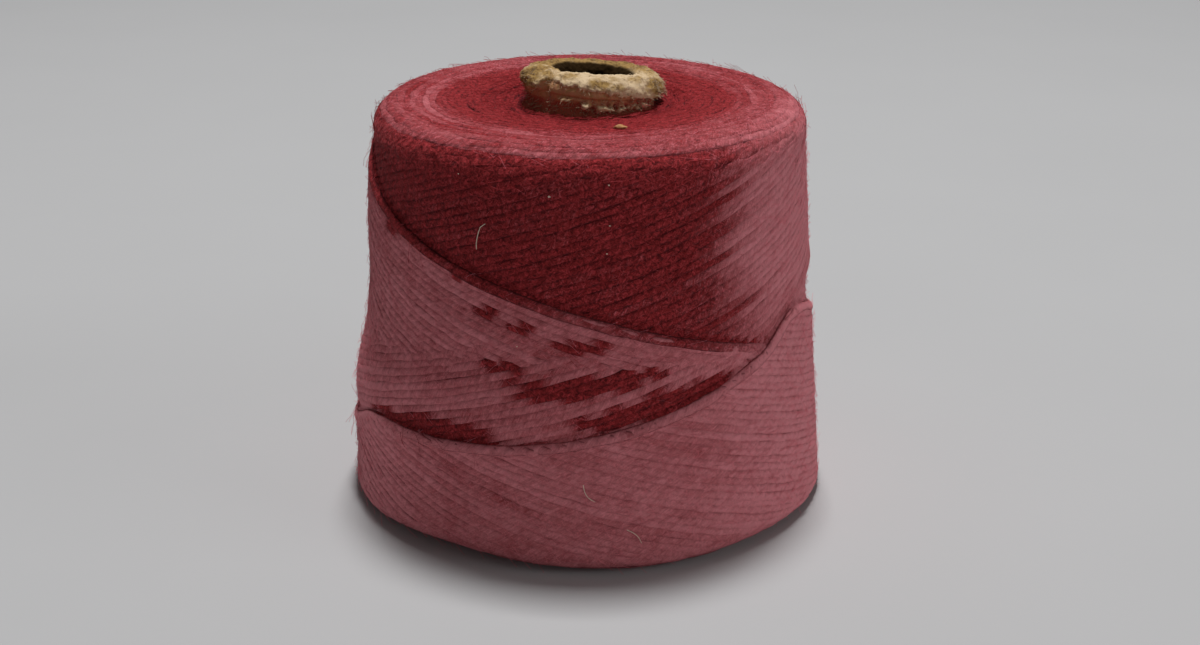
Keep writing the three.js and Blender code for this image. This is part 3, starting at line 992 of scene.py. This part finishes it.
def fibre_tree():
    """Scatters bent fibres over a skin. They lean away from its flow and lift off it."""
    tree, graph, skin, wires = geometry_graph("loose fibres", [
        ("Cover", "String"),
        ("Density", "Float"),
        ("Seed", "Int"),
        ("Shortest", "Float"),
        ("Longest", "Float"),
        ("Thickness", "Float"),
        ("Least Lift", "Float"),
        ("Most Lift", "Float"),
        ("Spread", "Float"),
        ("Bend", "Float"),
        ("Material", "Material"),
    ])

    def chance(low, high, salt):
        values = {"Min_001": low, "Max_001": high, "Seed": wires["Seed"] + salt}
        return graph.add("FunctionNodeRandomValue", values, "Value_001", data_type="FLOAT")

    def turned(rotation, axis, angle):
        by = graph.add("FunctionNodeAxisAngleToRotation", {"Axis": axis, "Angle": angle})
        values = {"Rotation": rotation, "Rotate By": by}
        return graph.add("FunctionNodeRotateRotation", values, rotation_space="LOCAL")

    points = graph.add("GeometryNodeDistributePointsOnFaces", {
        "Mesh": skin,
        "Density": wires["Density"] * graph.named(wires["Cover"]),
        "Seed": wires["Seed"],
    })
    outward, flow = (graph.named(name, "FLOAT_VECTOR") for name in ("outward", "flow"))
    align = "FunctionNodeAlignRotationToVector"
    upright = graph.add(align, {"Vector": outward}, axis="Z")
    facing = graph.add(align, {"Rotation": upright, "Vector": flow}, axis="X", pivot_axis="Z")
    facing = turned(facing, (0, 0, 1), chance(-1.0, 1.0, salt=11) * wires["Spread"])
    lift = chance(0.0, 1.0, salt=17) * (wires["Least Lift"] - wires["Most Lift"])
    facing = turned(facing, (0, 1, 0), lift - wires["Least Lift"])
    thread = graph.add("GeometryNodeCurvePrimitiveLine", {"End": (1, 0, 0)})
    thread = graph.add("GeometryNodeResampleCurve", {"Curve": thread, "Count": FIBRE_POINTS})
    more = chance(0.0, 1.0, salt=23) * (wires["Longest"] - wires["Shortest"])
    fibres = graph.add("GeometryNodeInstanceOnPoints", {
        "Points": points,
        "Instance": thread,
        "Rotation": facing,
        "Scale": more + wires["Shortest"],
    })
    fibres = graph.add("GeometryNodeRealizeInstances", {"Geometry": fibres})
    factor = graph.add("GeometryNodeSplineParameter", output="Factor")
    wave = graph.noise(graph.add("GeometryNodeInputPosition"), FIBRE_WAVE, 1.0, 0.5, "Color")
    wave = graph.add("ShaderNodeVectorMath", {0: wave, 1: (0.5,) * 3}, operation="SUBTRACT")
    values = {0: wave, "Scale": factor * wires["Bend"] * 4.0}
    offset = graph.add("ShaderNodeVectorMath", values, operation="SCALE")
    fibres = graph.add("GeometryNodeSetPosition", {"Geometry": fibres, "Offset": offset})
    fibres = rested(graph, fibres, wires["Thickness"])
    tube = graph.add("GeometryNodeCurveToMesh", {
        "Curve": fibres,
        "Profile Curve": graph.circle(FIBRE_SIDES, wires["Thickness"] * 0.5),
        "Fill Caps": True,
    })
    finish_geometry(graph, tube, wires["Material"])
    return tree


def grown(name, source, tree, inputs):
    """The plain mesh that a Geometry Nodes tree makes from a source object, which goes."""
    modifier = source.modifiers.new(tree.name, "NODES")
    modifier.node_group = tree
    for item in tree.interface.items_tree:
        if item.item_type == "SOCKET" and item.in_out == "INPUT" and item.name in inputs:
            modifier[item.identifier] = inputs[item.name]
    evaluated = source.evaluated_get(bpy.context.evaluated_depsgraph_get())
    mesh = bpy.data.meshes.new_from_object(evaluated)
    bpy.data.objects.remove(source)
    if not mesh.polygons:
        raise RuntimeError(f"{name} came out of its nodes empty")
    mesh.name = name
    return placed(name, mesh)


def finish_piece(piece, node=None):
    """Tells the frame what a finished piece is."""
    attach(piece, "root")
    if node:
        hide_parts(node)


# ---- the core and the winding's skins --------------------------------------------------------


def grid_mesh(name, points, attributes, closed):
    """A mesh from points[column][row] that goes round by its columns. A closed one goes round by
    its rows as well, and is smooth."""
    columns, rows = points.shape[:2]
    spans = rows if closed else rows - 1
    column, row = np.meshgrid(np.arange(columns), np.arange(spans), indexing="ij")
    after_column, after_row = (column + 1) % columns, (row + 1) % rows
    corners = np.stack([
        column * rows + row,
        after_column * rows + row,
        after_column * rows + after_row,
        column * rows + after_row,
    ], axis=-1).reshape(-1, 4)
    mesh = bpy.data.meshes.new(name)
    mesh.from_pydata((points.reshape(-1, 3) * MM).tolist(), [], corners.tolist())
    store(mesh, attributes)
    if closed:
        mesh.shade_smooth()
    return mesh


def core_radius(height):
    return CORE_BASE_RADIUS - height * math.tan(TAPER)


def grain(spot, table):
    """Roughness at a point in millimetres, from a table of (size, scale)."""
    spot = Vector(spot)
    return sum(size * noise.fractal(spot * scale, *PAPER_FRACTAL) for size, scale in table)


def bell_round(azimuth, middle, spread):
    return float(bell(turn_between(middle, azimuth), spread))


def strongest(table, azimuth, place):
    """How strong the strongest of a table's stains or patches is at a place."""
    strength = 0.0
    for middle, level, azimuth_spread, spread, most in table:
        weight = bell_round(azimuth, middle, azimuth_spread)
        strength = max(strength, most * weight * float(bell(place - level, spread)))
    return strength


def rim_point(azimuth, angle):
    """A point of the rolled rim's outline, with its tears and its torn outer layer, and how
    whole the outer layer is there."""
    outer, hole, widest, crest = (
        float(curve_at(name, azimuth)) for name in ("outer", "hole", "widest", "crest")
    )
    turn = math.radians(angle)
    outward, upward = 0.0, 0.0
    for middle, spread, out, up in RIM_TEARS:
        weight = bell_round(azimuth, middle, spread)
        outward += out * weight
        upward += up * weight
    reach = crest - widest if angle > 0 else RIM_UNDERSIDE
    radius = (outer + hole) / 2 + (outer - hole) / 2 * math.cos(turn)
    radius += outward * max(0.0, math.cos(turn))
    height = widest + reach * math.sin(turn) + upward * max(0.0, math.sin(turn))
    around = math.radians(azimuth)
    spot = (radius * math.sin(around), -radius * math.cos(around), height)
    past_tear = angle - float(curve_at("torn", azimuth)) + grain(spot, TEAR_GRAIN)
    whole = float(smooth(past_tear, *TORN_EDGE))
    lump = grain(spot, RIM_GRAIN) + bell_round(azimuth, *TUFTED) * grain(spot, TUFT_GRAIN)
    relief = lump * (LUMPS_TORN + LUMPS_MORE_WHOLE * whole) - TORN_DEPTH * (1 - whole) - RIM_INSET
    return radius + relief * math.cos(turn), height + relief * math.sin(turn), whole


def roll_spot(azimuth, angle):
    """Radius and height of a place on the roll, how whole and stained it is, and its painted shade.
    """
    radius, height, whole = rim_point(azimuth, angle)
    # Painted shade inside the roll.
    start = SHADE_START + SHADE_SHIFT * math.cos(math.radians(azimuth))
    dark = float(smooth(angle, start, start + SHADE_REACH))
    return radius, height, whole, strongest(RIM_STAINS, azimuth, angle), dark


def wall_spot(part, azimuth, place):
    """The same for a place on the shaft, the neck or the bore."""
    height = max(CORE_SHAFT_HEIGHT * (1 if part == "neck" else place), LOWEST_PAPER)
    radius = core_radius(height)
    if part == "neck":
        start_radius, start_height, _ = rim_point(azimuth, -RIM_UNDERCUT)
        radius += (start_radius - radius) * place
        height += (start_height - height) * place
    around = math.radians(azimuth)
    spot = (radius * math.sin(around), -radius * math.cos(around), height)
    lump = grain(spot, SHAFT_GRAIN)
    if part == "bore":
        radius += lump * BORE_LUMPS - CORE_WALL
        # The bore's painted shade, which lifts only at its open foot.
        return radius, height, BORE_LAYER, 0.0, float(smooth(place, *BORE_SHADE))
    frayed = FRAY_MIDDLE + grain(spot, FRAY_GRAIN)
    # Pale frayed paper, partly real and partly painted light where the jutting collar catches the
    # light.
    pale = min(1.0, max(0.0, strongest(NECK_PATCHES, azimuth, height) * frayed))
    above_yarn = float(smooth(height, *NECK_ROUGH))
    below_roll = 1 - place if part == "neck" else 1
    narrow = NECK_INSET + NARROWED_BY * bell_round(azimuth, *NARROWED)
    radius += (lump - narrow) * above_yarn * below_roll + PATCH_SWELL * pale
    return radius, height, pale, 0.0, 0.0


def core_spots(azimuth):
    """The places of one column of the core, from its foot up outside and down the bore."""
    spots = [wall_spot("shaft", azimuth, share) for share in SHAFT_ROWS]
    spots += [wall_spot("neck", azimuth, share) for share in NECK_ROWS]
    spots += [roll_spot(azimuth, angle) for angle in ROLL_ROWS]
    return spots + [wall_spot("bore", azimuth, share) for share in BORE_ROWS]


def core_piece(columns):
    """The pulp-paper tube with its rolled, torn rim."""
    azimuths = np.arange(columns) * 360 / columns
    spots = np.array([core_spots(azimuth) for azimuth in azimuths.tolist()])
    radius, height, layer, stain, dark = np.moveaxis(spots, -1, 0)
    around = np.radians(azimuths)[:, None]
    points = np.stack([radius * np.sin(around), -radius * np.cos(around), height], axis=-1)
    outside = np.arange(spots.shape[1]) < spots.shape[1] - len(BORE_ROWS)
    low = smooth(height, *NECK_LINTY)
    edge = layer * (1 - layer) * 4
    bare = COVER_PLAIN + COVER_LINTY * low + COVER_STAINED * stain
    in_sight = smooth(height, *NECK_FRAYED) * (1 - dark)
    outward = points / np.hypot(points[..., 0], points[..., 1])[..., None]
    outward[..., 2] = 1
    return grid_mesh("core_tube", points, {
        "layer": layer,
        "stain": stain,
        "lint": low * (1 - LINT_KEPT_OFF * layer) * outside,
        # The painted shade inside the roll and down the bore.
        "bore": dark,
        "cover": np.maximum(edge, bare) * in_sight * outside,
        "outward": outward,
        "flow": np.broadcast_to((0.0, 0.0, -1.0), points.shape),
    }, closed=True)


def flow_at(azimuth, travel):
    """1 where the visible strands rise with the azimuth, -1 where they fall, 0 on the faces."""
    rising = (upper_panel(azimuth, travel, 0) > 0) | (middle_rising(azimuth, travel, 0) > 0)
    on_side = (travel > SIDE[0]) & (travel < SIDE[1])
    return np.where(on_side, np.where(rising, 1.0, -1.0), 0.0)


def winding_grid(columns):
    """Azimuth and travel of a grid over the winding's surface."""
    travel = np.concatenate([np.linspace(*span) for span in SKIN_SPANS])
    return np.meshgrid(np.arange(columns) * 360 / columns, travel, indexing="ij")


def body_points(depth):
    """The winding's surface, `depth` under its crests, and the wall of its bore coming down."""
    azimuth, travel = winding_grid(BODY_COLUMNS)
    points, _ = surface(azimuth, travel, depth)
    height = np.linspace(WINDING_HEIGHT - TOP_DISH - depth, depth, BODY_BORE_ROWS)
    bore = core_radius(height) + SEAT_GAP
    around = np.radians(azimuth[:, :1])
    wall = np.broadcast_arrays(np.sin(around) * bore, -np.cos(around) * bore, height)
    return np.concatenate([points, np.stack(wall, axis=-1)], axis=1)


def fuzz_skin(even_cover):
    """The open surface that the yarn's loose fibres grow on, and its attributes. The fibres are
    densest next to the core, and elsewhere their share is `even_cover`."""
    azimuth, travel = winding_grid(FUZZ_COLUMNS)
    points, outward = surface(azimuth, travel, FUZZ_ROOT)
    around = np.radians(azimuth)
    level = np.stack([np.cos(around), np.sin(around), 0 * around], axis=-1)
    slope = (flow_at(azimuth, travel) * PANEL_SLOPE)[..., None]
    height = points[..., 2]
    near_core = smooth(np.hypot(points[..., 0], points[..., 1]), *FUZZ_NEAR_CORE)
    more = (1 - even_cover) * (near_core * smooth(height, *FUZZ_ON_TOP))
    return points, {
        "outward": outward,
        "flow": level + np.cross(outward, level) * slope,
        # How much painted milky sheen the yarn under the fibres carries.
        "dust": tone_at(azimuth, travel),
        "cover": np.where(height > FUZZ_GROUND, even_cover + more, 0.0),
    }


# ---- what a user can change -----------------------------------------------------------------


def colour_property(label, description, red, green, blue):
    return bpy.props.FloatVectorProperty(
        name=label,
        description=description,
        subtype="COLOR",
        size=4,
        min=0.0,
        max=1.0,
        default=(red, green, blue, 1.0),
    )


def number_property(label, description, default, **kind):
    return bpy.props.FloatProperty(name=label, description=description, default=default, **kind)


def length_property(label, description, default):
    return number_property(label, description, default, unit="LENGTH", precision=5)


class ConeSizes(bpy.types.PropertyGroup):
    """Sizes of the yarn and its fibres."""

    strand_width: length_property("Strand width", "Width of a flattened strand", 0.0032)
    strand_thickness: length_property("Strand thickness", "Depth of a strand", 0.00118)
    strand_sides: bpy.props.IntProperty(
        name="Strand sides", description="Faces round a strand's tube", default=8, min=3
    )
    body_depth: length_property("Body depth", "How far under the crests the body lies", 0.0010)
    fibre_thickness: length_property("Fibre thickness", "Thickness of a loose fibre", 0.00011)
    fuzz_longest: length_property("Longest fuzz", "Length of the longest standing fibre", 0.0019)
    lying_density: number_property(
        "Lying fibres", "Fibres that lie on the yarn, for a square metre", 330000.0
    )
    fuzz_density: number_property(
        "Standing fibres", "Fibres that stand off the yarn, for a square metre", 300000.0
    )


class ConeFinishes(bpy.types.PropertyGroup):
    """Colours of the yarn and the paper."""

    # The painted shade between the strands, which also darkens the felt's specks: deep crimson, and
    # paler between strands that carry painted milky sheen.
    yarn_deep_and_shade: colour_property("Deep yarn", "Yarn between the strands", 0.095, 0.006, 0.009)
    milky_deep_and_shade: colour_property("Dusty hollows", "Between dusty strands", 0.40, 0.11, 0.12)
    yarn_mid: colour_property("Yarn", "The yarn's own deep crimson", 0.30, 0.021, 0.023)
    # The pale pink of the painted milky sheen, at its strongest.
    yarn_light: colour_property("Dusty yarn", "Yarn where it is dusty and rubbed", 0.77, 0.265, 0.295)
    fuzz_crimson: colour_property("Fuzz", "Loose fibres on clean yarn", 0.50, 0.045, 0.055)
    # Loose fibres where the yarn carries painted milky sheen.
    fuzz_milky: colour_property("Dusty fuzz", "Loose fibres on dusty yarn", 0.78, 0.23, 0.275)
    sheen_tint: colour_property("Sheen", "Tint of the fuzz at grazing light", 1.0, 0.42, 0.46)
    paper_light: colour_property("Paper", "Whole outer layer of the core", 0.69, 0.52, 0.33)
    paper_olive: colour_property("Paper, stained", "Yellower pulp", 0.38, 0.235, 0.085)
    paper_dark: colour_property("Paper, dark", "Pits in the pulp", 0.075, 0.036, 0.014)
    paper_inner: colour_property("Inner paper", "Layer under the torn one", 0.52, 0.26, 0.14)
    lint_colour: colour_property("Lint", "Red lint that clings to the paper", 0.34, 0.05, 0.04)
    pulp_fibre: colour_property("Paper fibres", "Frayed fibres of the paper", 0.60, 0.43, 0.27)
    # The colour of the painted shade inside the roll and down the bore.
    bore_shade_colour: colour_property("Bore", "Paper deep inside the core", 0.026, 0.013, 0.003)
    straw: colour_property("Straw", "Pale fibres caught in the yarn", 1.0, 0.82, 0.66)
    crumb: colour_property("Crumb", "Crumb of paper on the top face", 0.62, 0.30, 0.12)
    twist_length: length_property("Twist", "Length of one turn of a strand's twist", 0.008)


class StageLook(bpy.types.PropertyGroup):
    """The camera, the lights and the floor."""

    floor_colour: colour_property("Floor", "Colour of the pale floor", 0.50, 0.50, 0.505)
    lens: number_property("Lens", "Focal length", 56.1, subtype="DISTANCE_CAMERA")
    camera_distance: length_property("Camera distance", "From the camera to its target", 0.62)
    camera_elevation: number_property(
        "Camera elevation", "How far the camera looks down", math.radians(20.3), subtype="ANGLE"
    )
    target_height: length_property("Target height", "Height that the camera looks at", 0.053)
    frame_shift: number_property("Frame shift", "Sideways shift of the camera's frame", 0.0103)
    key_power: number_property("Key light", "Power of the light overhead", 56.0, subtype="POWER")
    side_power: number_property("Side light", "Power at the side", 13.6, subtype="POWER")
    fill_power: number_property("Fill light", "Power low in front", 4.8, subtype="POWER")
    sky_strength: number_property("Sky", "Strength of the even light all round", 0.08)


# ---- operators ------------------------------------------------------------------------------


SHARED_LOOKS = {
    "crimson_yarn": yarn_material,
    "loose_yarn_fibres": fuzz_material,
    "rough_pulp": paper_material,
}


def shared_look(context, name):
    """A material that several pieces use, made once."""
    made = bpy.data.materials.get(name)
    return made or SHARED_LOOKS[name](name, context.scene.cone_finishes)


def shared_tree(name, build):
    return bpy.data.node_groups.get(name) or build()


def make_strands(context, name, strands):
    """Finishes laid centre lines as one piece of yarn."""
    sizes = context.scene.cone_sizes
    piece = grown(name, strands.object(name), shared_tree("yarn strands", strand_tree), {
        "Width": sizes.strand_width,
        "Thickness": sizes.strand_thickness,
        "Sides": sizes.strand_sides,
        "Material": shared_look(context, "crimson_yarn"),
    })
    finish_piece(piece)


def new_strands(context, seed, step=STRAND_STEP):
    return Strands(seed, context.scene.cone_sizes.strand_thickness / MM, step)


def scatter(name, skin, inputs):
    """Grows loose fibres over a skin as one piece."""
    piece = grown(name, placed(name, skin), shared_tree("loose fibres", fibre_tree), inputs)
    finish_piece(piece)


class YARNCONE_OT_stage(bpy.types.Operator):
    """Adds the camera, the lights and the floor"""

    bl_idname = "yarn_cone.stage"
    bl_label = "Stage"

    def execute(self, context):
        scene = context.scene
        look = scene.stage_look
        camera = bpy.data.objects.new("camera", bpy.data.cameras.new("camera"))
        scene.collection.objects.link(camera)
        elevation = look.camera_elevation
        back = Vector((0, -math.cos(elevation), math.sin(elevation))) * look.camera_distance
        camera.location = Vector((0, 0, look.target_height)) + back
        camera.rotation_euler = (math.pi / 2 - elevation, 0, 0)
        camera.data.lens = look.lens
        camera.data.shift_x = look.frame_shift
        camera.data.clip_start = NEAREST_SEEN
        scene.camera = camera
        for name, place, width, depth in LIGHTS:
            self.add_light(scene, name, place, width, depth, getattr(look, f"{name}_power"))
        world = bpy.data.worlds.new("sky")
        world.use_nodes = True
        background = world.node_tree.nodes["Background"]
        background.inputs["Color"].default_value = (1.0, 1.0, 1.0, 1.0)
        background.inputs["Strength"].default_value = look.sky_strength
        scene.world = world
        scene.view_settings.view_transform = "Standard"
        bpy.ops.mesh.primitive_plane_add(size=FLOOR_SIZE)
        floor = context.active_object
        floor.name = "floor"
        floor.data.materials.append(mottled_material(
            "pale_floor", look.floor_colour, FLOOR_NOISE, darkest=0.96, roughness=0.75, specular=0.2
        ))
        return {"FINISHED"}

    @staticmethod
    def add_light(scene, name, place, width, depth, power):
        """An area light that looks at the cone's middle."""
        light = bpy.data.lights.new(name, "AREA")
        light.energy = power
        light.shape = "RECTANGLE"
        light.size = width
        light.size_y = depth
        lamp = bpy.data.objects.new(name, light)
        lamp.location = place
        ahead = Vector((0, 0, LIGHTS_AIM)) - Vector(place)
        lamp.rotation_euler = ahead.to_track_quat("-Z", "Y").to_euler()
        scene.collection.objects.link(lamp)


class YARNCONE_OT_core(bpy.types.Operator):
    """Makes the pulp-paper core with its rolled, torn rim"""

    bl_idname = "yarn_cone.core"
    bl_label = "Core"

    def execute(self, context):
        piece = placed("core_tube", core_piece(CORE_COLUMNS))
        piece.data.materials.append(shared_look(context, "rough_pulp"))
        finish_piece(piece, "core")
        return {"FINISHED"}


class YARNCONE_OT_core_frays(bpy.types.Operator):
    """Scatters torn paper fibres and red lint over the core's rim and neck"""

    bl_idname = "yarn_cone.core_frays"
    bl_label = "Frays and lint of the core"

    def execute(self, context):
        thickness = context.scene.cone_sizes.fibre_thickness * CORE_FIBRE_THICKNESS
        pulp_fibres = pale_material("pulp_fibres", context.scene.cone_finishes.pulp_fibre)
        red_lint = shared_look(context, "loose_yarn_fibres")
        for name, cover, density, seed, longest, look, slot in (
            ("core_frays", "cover", 900000.0, 5, 0.0015, pulp_fibres, "pulp_paper"),
            ("core_lint", "lint", 260000.0, 6, 0.0030, red_lint, "yarn"),
        ):
            scatter(name, core_piece(CORE_SKIN_COLUMNS), {
                "Cover": cover,
                "Density": density,
                "Seed": seed,
                "Shortest": 0.0006,
                "Longest": longest,
                "Thickness": thickness,
                "Least Lift": 0.05,
                "Most Lift": 0.6,
                "Spread": 1.4,
                "Bend": 0.0006,
                "Material": look,
            })
        return {"FINISHED"}


class YARNCONE_OT_body(bpy.types.Operator):
    """Makes the closed inner body of the winding, which shows between the strands"""

    bl_idname = "yarn_cone.body"
    bl_label = "Winding body"

    def execute(self, context):
        depth = context.scene.cone_sizes.body_depth / MM
        points = body_points(depth)
        # A crest below the strands' sides paints the body with the shade of the gaps.
        crest = np.full(points.shape[:2], BODY_CREST)
        mesh = grid_mesh("yarn_body", points, {"crest": crest}, closed=True)
        mesh.materials.append(shared_look(context, "crimson_yarn"))
        finish_piece(placed("yarn_body", mesh), "wound_yarn")
        return {"FINISHED"}


class YARNCONE_OT_panels(bpy.types.Operator):
    """Lays the strands of the winding's panels, turn by turn"""

    bl_idname = "yarn_cone.panels"
    bl_label = "Panels of strands"

    def execute(self, context):
        for name, seed, way, inside, ragged, tone in (
            ("upper_panel_strands", 21, 1, upper_panel, 2.0, TONES["upper"]),
            ("middle_falling_strands", 22, -1, middle_falling, 3.0, TONES["falling"]),
            ("middle_rising_strands", 23, 1, middle_rising, 3.0, TONES["rising"]),
            ("bottom_panel_strands", 24, -1, bottom_panel, 1.5, TONES["bottom"]),
        ):
            strands = new_strands(context, seed)
            lay_family(strands, way, inside, ragged, tone)
            make_strands(context, name, strands)
        return {"FINISHED"}


class YARNCONE_OT_edges(bpy.types.Operator):
    """Lays the strands that ridge the panels' edges"""

    bl_idname = "yarn_cone.edges"
    bl_label = "Edge strands"

    def execute(self, context):
        strands = new_strands(context, seed=31)
        lay_edges(strands)
        make_strands(context, "edge_strands", strands)
        return {"FINISHED"}


class YARNCONE_OT_faces(bpy.types.Operator):
    """Lays the level strands of the shoulder, the top face and the base face"""

    bl_idname = "yarn_cone.faces"
    bl_label = "Face strands"

    def execute(self, context):
        strands = new_strands(context, seed=41)
        lay_rings(
            strands, TOP_FACE, TOP_PITCH, face_tone, lambda place: dive(place, TOP_FACE_DIVES)
        )
        make_strands(context, "top_face_strands", strands)
        strands = new_strands(context, seed=42, step=BASE_STEP)
        lay_rings(strands, BASE_FACE, BASE_PITCH, lambda _: BASE_TONE, lambda _: BASE_SINK)
        make_strands(context, "base_face_strands", strands)
        return {"FINISHED"}


class YARNCONE_OT_fuzz(bpy.types.Operator):
    """Scatters the yarn's loose fibres, lying and standing"""

    bl_idname = "yarn_cone.fuzz"
    bl_label = "Fuzz"

    def execute(self, context):
        sizes = context.scene.cone_sizes
        for name, density, seed, shortest, longest, most, spread, even_cover in (
            ("lying_fibres", sizes.lying_density, 51, 0.003, 0.009, 0.1, 0.9, 0.25),
            ("standing_fuzz", sizes.fuzz_density, 52, 0.0007, sizes.fuzz_longest, 0.7, 3.1, 0.14),
        ):
            points, attributes = fuzz_skin(even_cover)
            scatter(name, grid_mesh(name, points, attributes, closed=False), {
                "Cover": "cover",
                "Density": density,
                "Seed": seed,
                "Shortest": shortest,
                "Longest": longest,
                "Thickness": sizes.fibre_thickness,
                "Least Lift": most * 0.1,
                "Most Lift": most,
                "Spread": spread,
                "Bend": 0.0007,
                "Material": shared_look(context, "loose_yarn_fibres"),
            })
        return {"FINISHED"}


class YARNCONE_OT_straws(bpy.types.Operator):
    """Lays the few pale fibres that are caught in the yarn"""

    bl_idname = "yarn_cone.straws"
    bl_label = "Caught straws"

    def execute(self, context):
        strands = Strands(seed=61, thickness=STRAW_LAID, step=STRAW_STEP, uneven=0.0)
        for azimuth, travel, far_azimuth, far_travel, bow in STRAWS:
            share = np.linspace(0, 1, STRAW_POINTS)
            bend = bow * np.sin(share * math.pi)
            around = azimuth + (far_azimuth - azimuth) * share + bend
            level = travel + (far_travel - travel) * share + bend
            strands.lay(around, level, STRAW_DEPTH + STRAW_DIP * (2 * share - 1) ** 4)
        name = "caught_straws"
        piece = grown(name, strands.object(name), shared_tree("yarn strands", strand_tree), {
            "Width": STRAW_THICKNESS * MM,
            "Thickness": STRAW_THICKNESS * MM,
            "Sides": 6,
            "Material": pale_material("straw", context.scene.cone_finishes.straw),
        })
        finish_piece(piece)
        return {"FINISHED"}


def speck_mesh(name, rows):
    """Small ragged lumps, each laid on the winding."""
    gathered = bmesh.new()
    lump_size, lump_scale = SPECK_GRAIN
    for azimuth, travel, length, width in rows:
        place = np.array([azimuth]), np.array([travel])
        (centre,), (outward,) = surface(*place, -SPECK_LIFT * width)
        out = Vector(outward)
        ahead = Vector((0, 0, 1)).cross(out).normalized()
        turn = Matrix((ahead, out.cross(ahead), out)).transposed().to_4x4()
        size = Matrix.Diagonal((length / 2, width / 2, width / 3, 1))
        lump = bmesh.new()
        bmesh.ops.create_icosphere(lump, subdivisions=3, radius=1)
        for vertex in lump.verts:
            spot = vertex.co * lump_scale + Vector((azimuth, travel, 0))
            vertex.co *= 1 + lump_size * noise.fractal(spot, *SPECK_FRACTAL)
        lump.transform(Matrix.Translation(centre) @ turn @ size)
        lump.transform(Matrix.Scale(MM, 4))
        part = bpy.data.meshes.new(name)
        lump.to_mesh(part)
        lump.free()
        gathered.from_mesh(part)
    mesh = bpy.data.meshes.new(name)
    gathered.to_mesh(mesh)
    gathered.free()
    mesh.shade_smooth()
    return mesh


class YARNCONE_OT_specks(bpy.types.Operator):
    """Lays the specks of lint and the crumb of paper on the yarn"""

    bl_idname = "yarn_cone.specks"
    bl_label = "Specks"

    def execute(self, context):
        finishes = context.scene.cone_finishes
        for name, rows, material, colour in (
            ("caught_specks", SPECKS, "speck", finishes.straw),
            ("paper_crumb", CRUMBS, "crumb", finishes.crumb),
        ):
            piece = placed(name, speck_mesh(name, rows))
            piece.data.materials.append(pale_material(material, colour))
            finish_piece(piece)
        return {"FINISHED"}


OPERATORS = (
    YARNCONE_OT_stage,
    YARNCONE_OT_core,
    YARNCONE_OT_core_frays,
    YARNCONE_OT_body,
    YARNCONE_OT_panels,
    YARNCONE_OT_edges,
    YARNCONE_OT_faces,
    YARNCONE_OT_fuzz,
    YARNCONE_OT_straws,
    YARNCONE_OT_specks,
)


class YARNCONE_PT_panel(bpy.types.Panel):
    """Lists the cone's pieces and what can be changed"""

    bl_idname = "YARNCONE_PT_panel"
    bl_label = "Yarn Cone"
    bl_space_type = "VIEW_3D"
    bl_region_type = "UI"
    bl_category = "Yarn Cone"

    def draw(self, context):
        for operator in OPERATORS:
            self.layout.operator(operator.bl_idname)
        scene = context.scene
        for group in (scene.cone_sizes, scene.cone_finishes, scene.stage_look):
            box = self.layout.box()
            for name in group.bl_rna.properties.keys():
                if name not in ("rna_type", "name"):
                    box.prop(group, name)


CLASSES = (ConeSizes, ConeFinishes, StageLook) + OPERATORS + (YARNCONE_PT_panel,)


def register():
    for cls in CLASSES:
        bpy.utils.register_class(cls)
    bpy.types.Scene.cone_sizes = bpy.props.PointerProperty(type=ConeSizes)
    bpy.types.Scene.cone_finishes = bpy.props.PointerProperty(type=ConeFinishes)
    bpy.types.Scene.stage_look = bpy.props.PointerProperty(type=StageLook)


def unregister():
    for name in ("stage_look", "cone_finishes", "cone_sizes"):
        delattr(bpy.types.Scene, name)
    for cls in reversed(CLASSES):
        bpy.utils.unregister_class(cls)


def main():
    register()
    for operator in OPERATORS:
        group, name = operator.bl_idname.split(".")
        getattr(getattr(bpy.ops, group), name)()


if __name__ == "__main__":
    main()
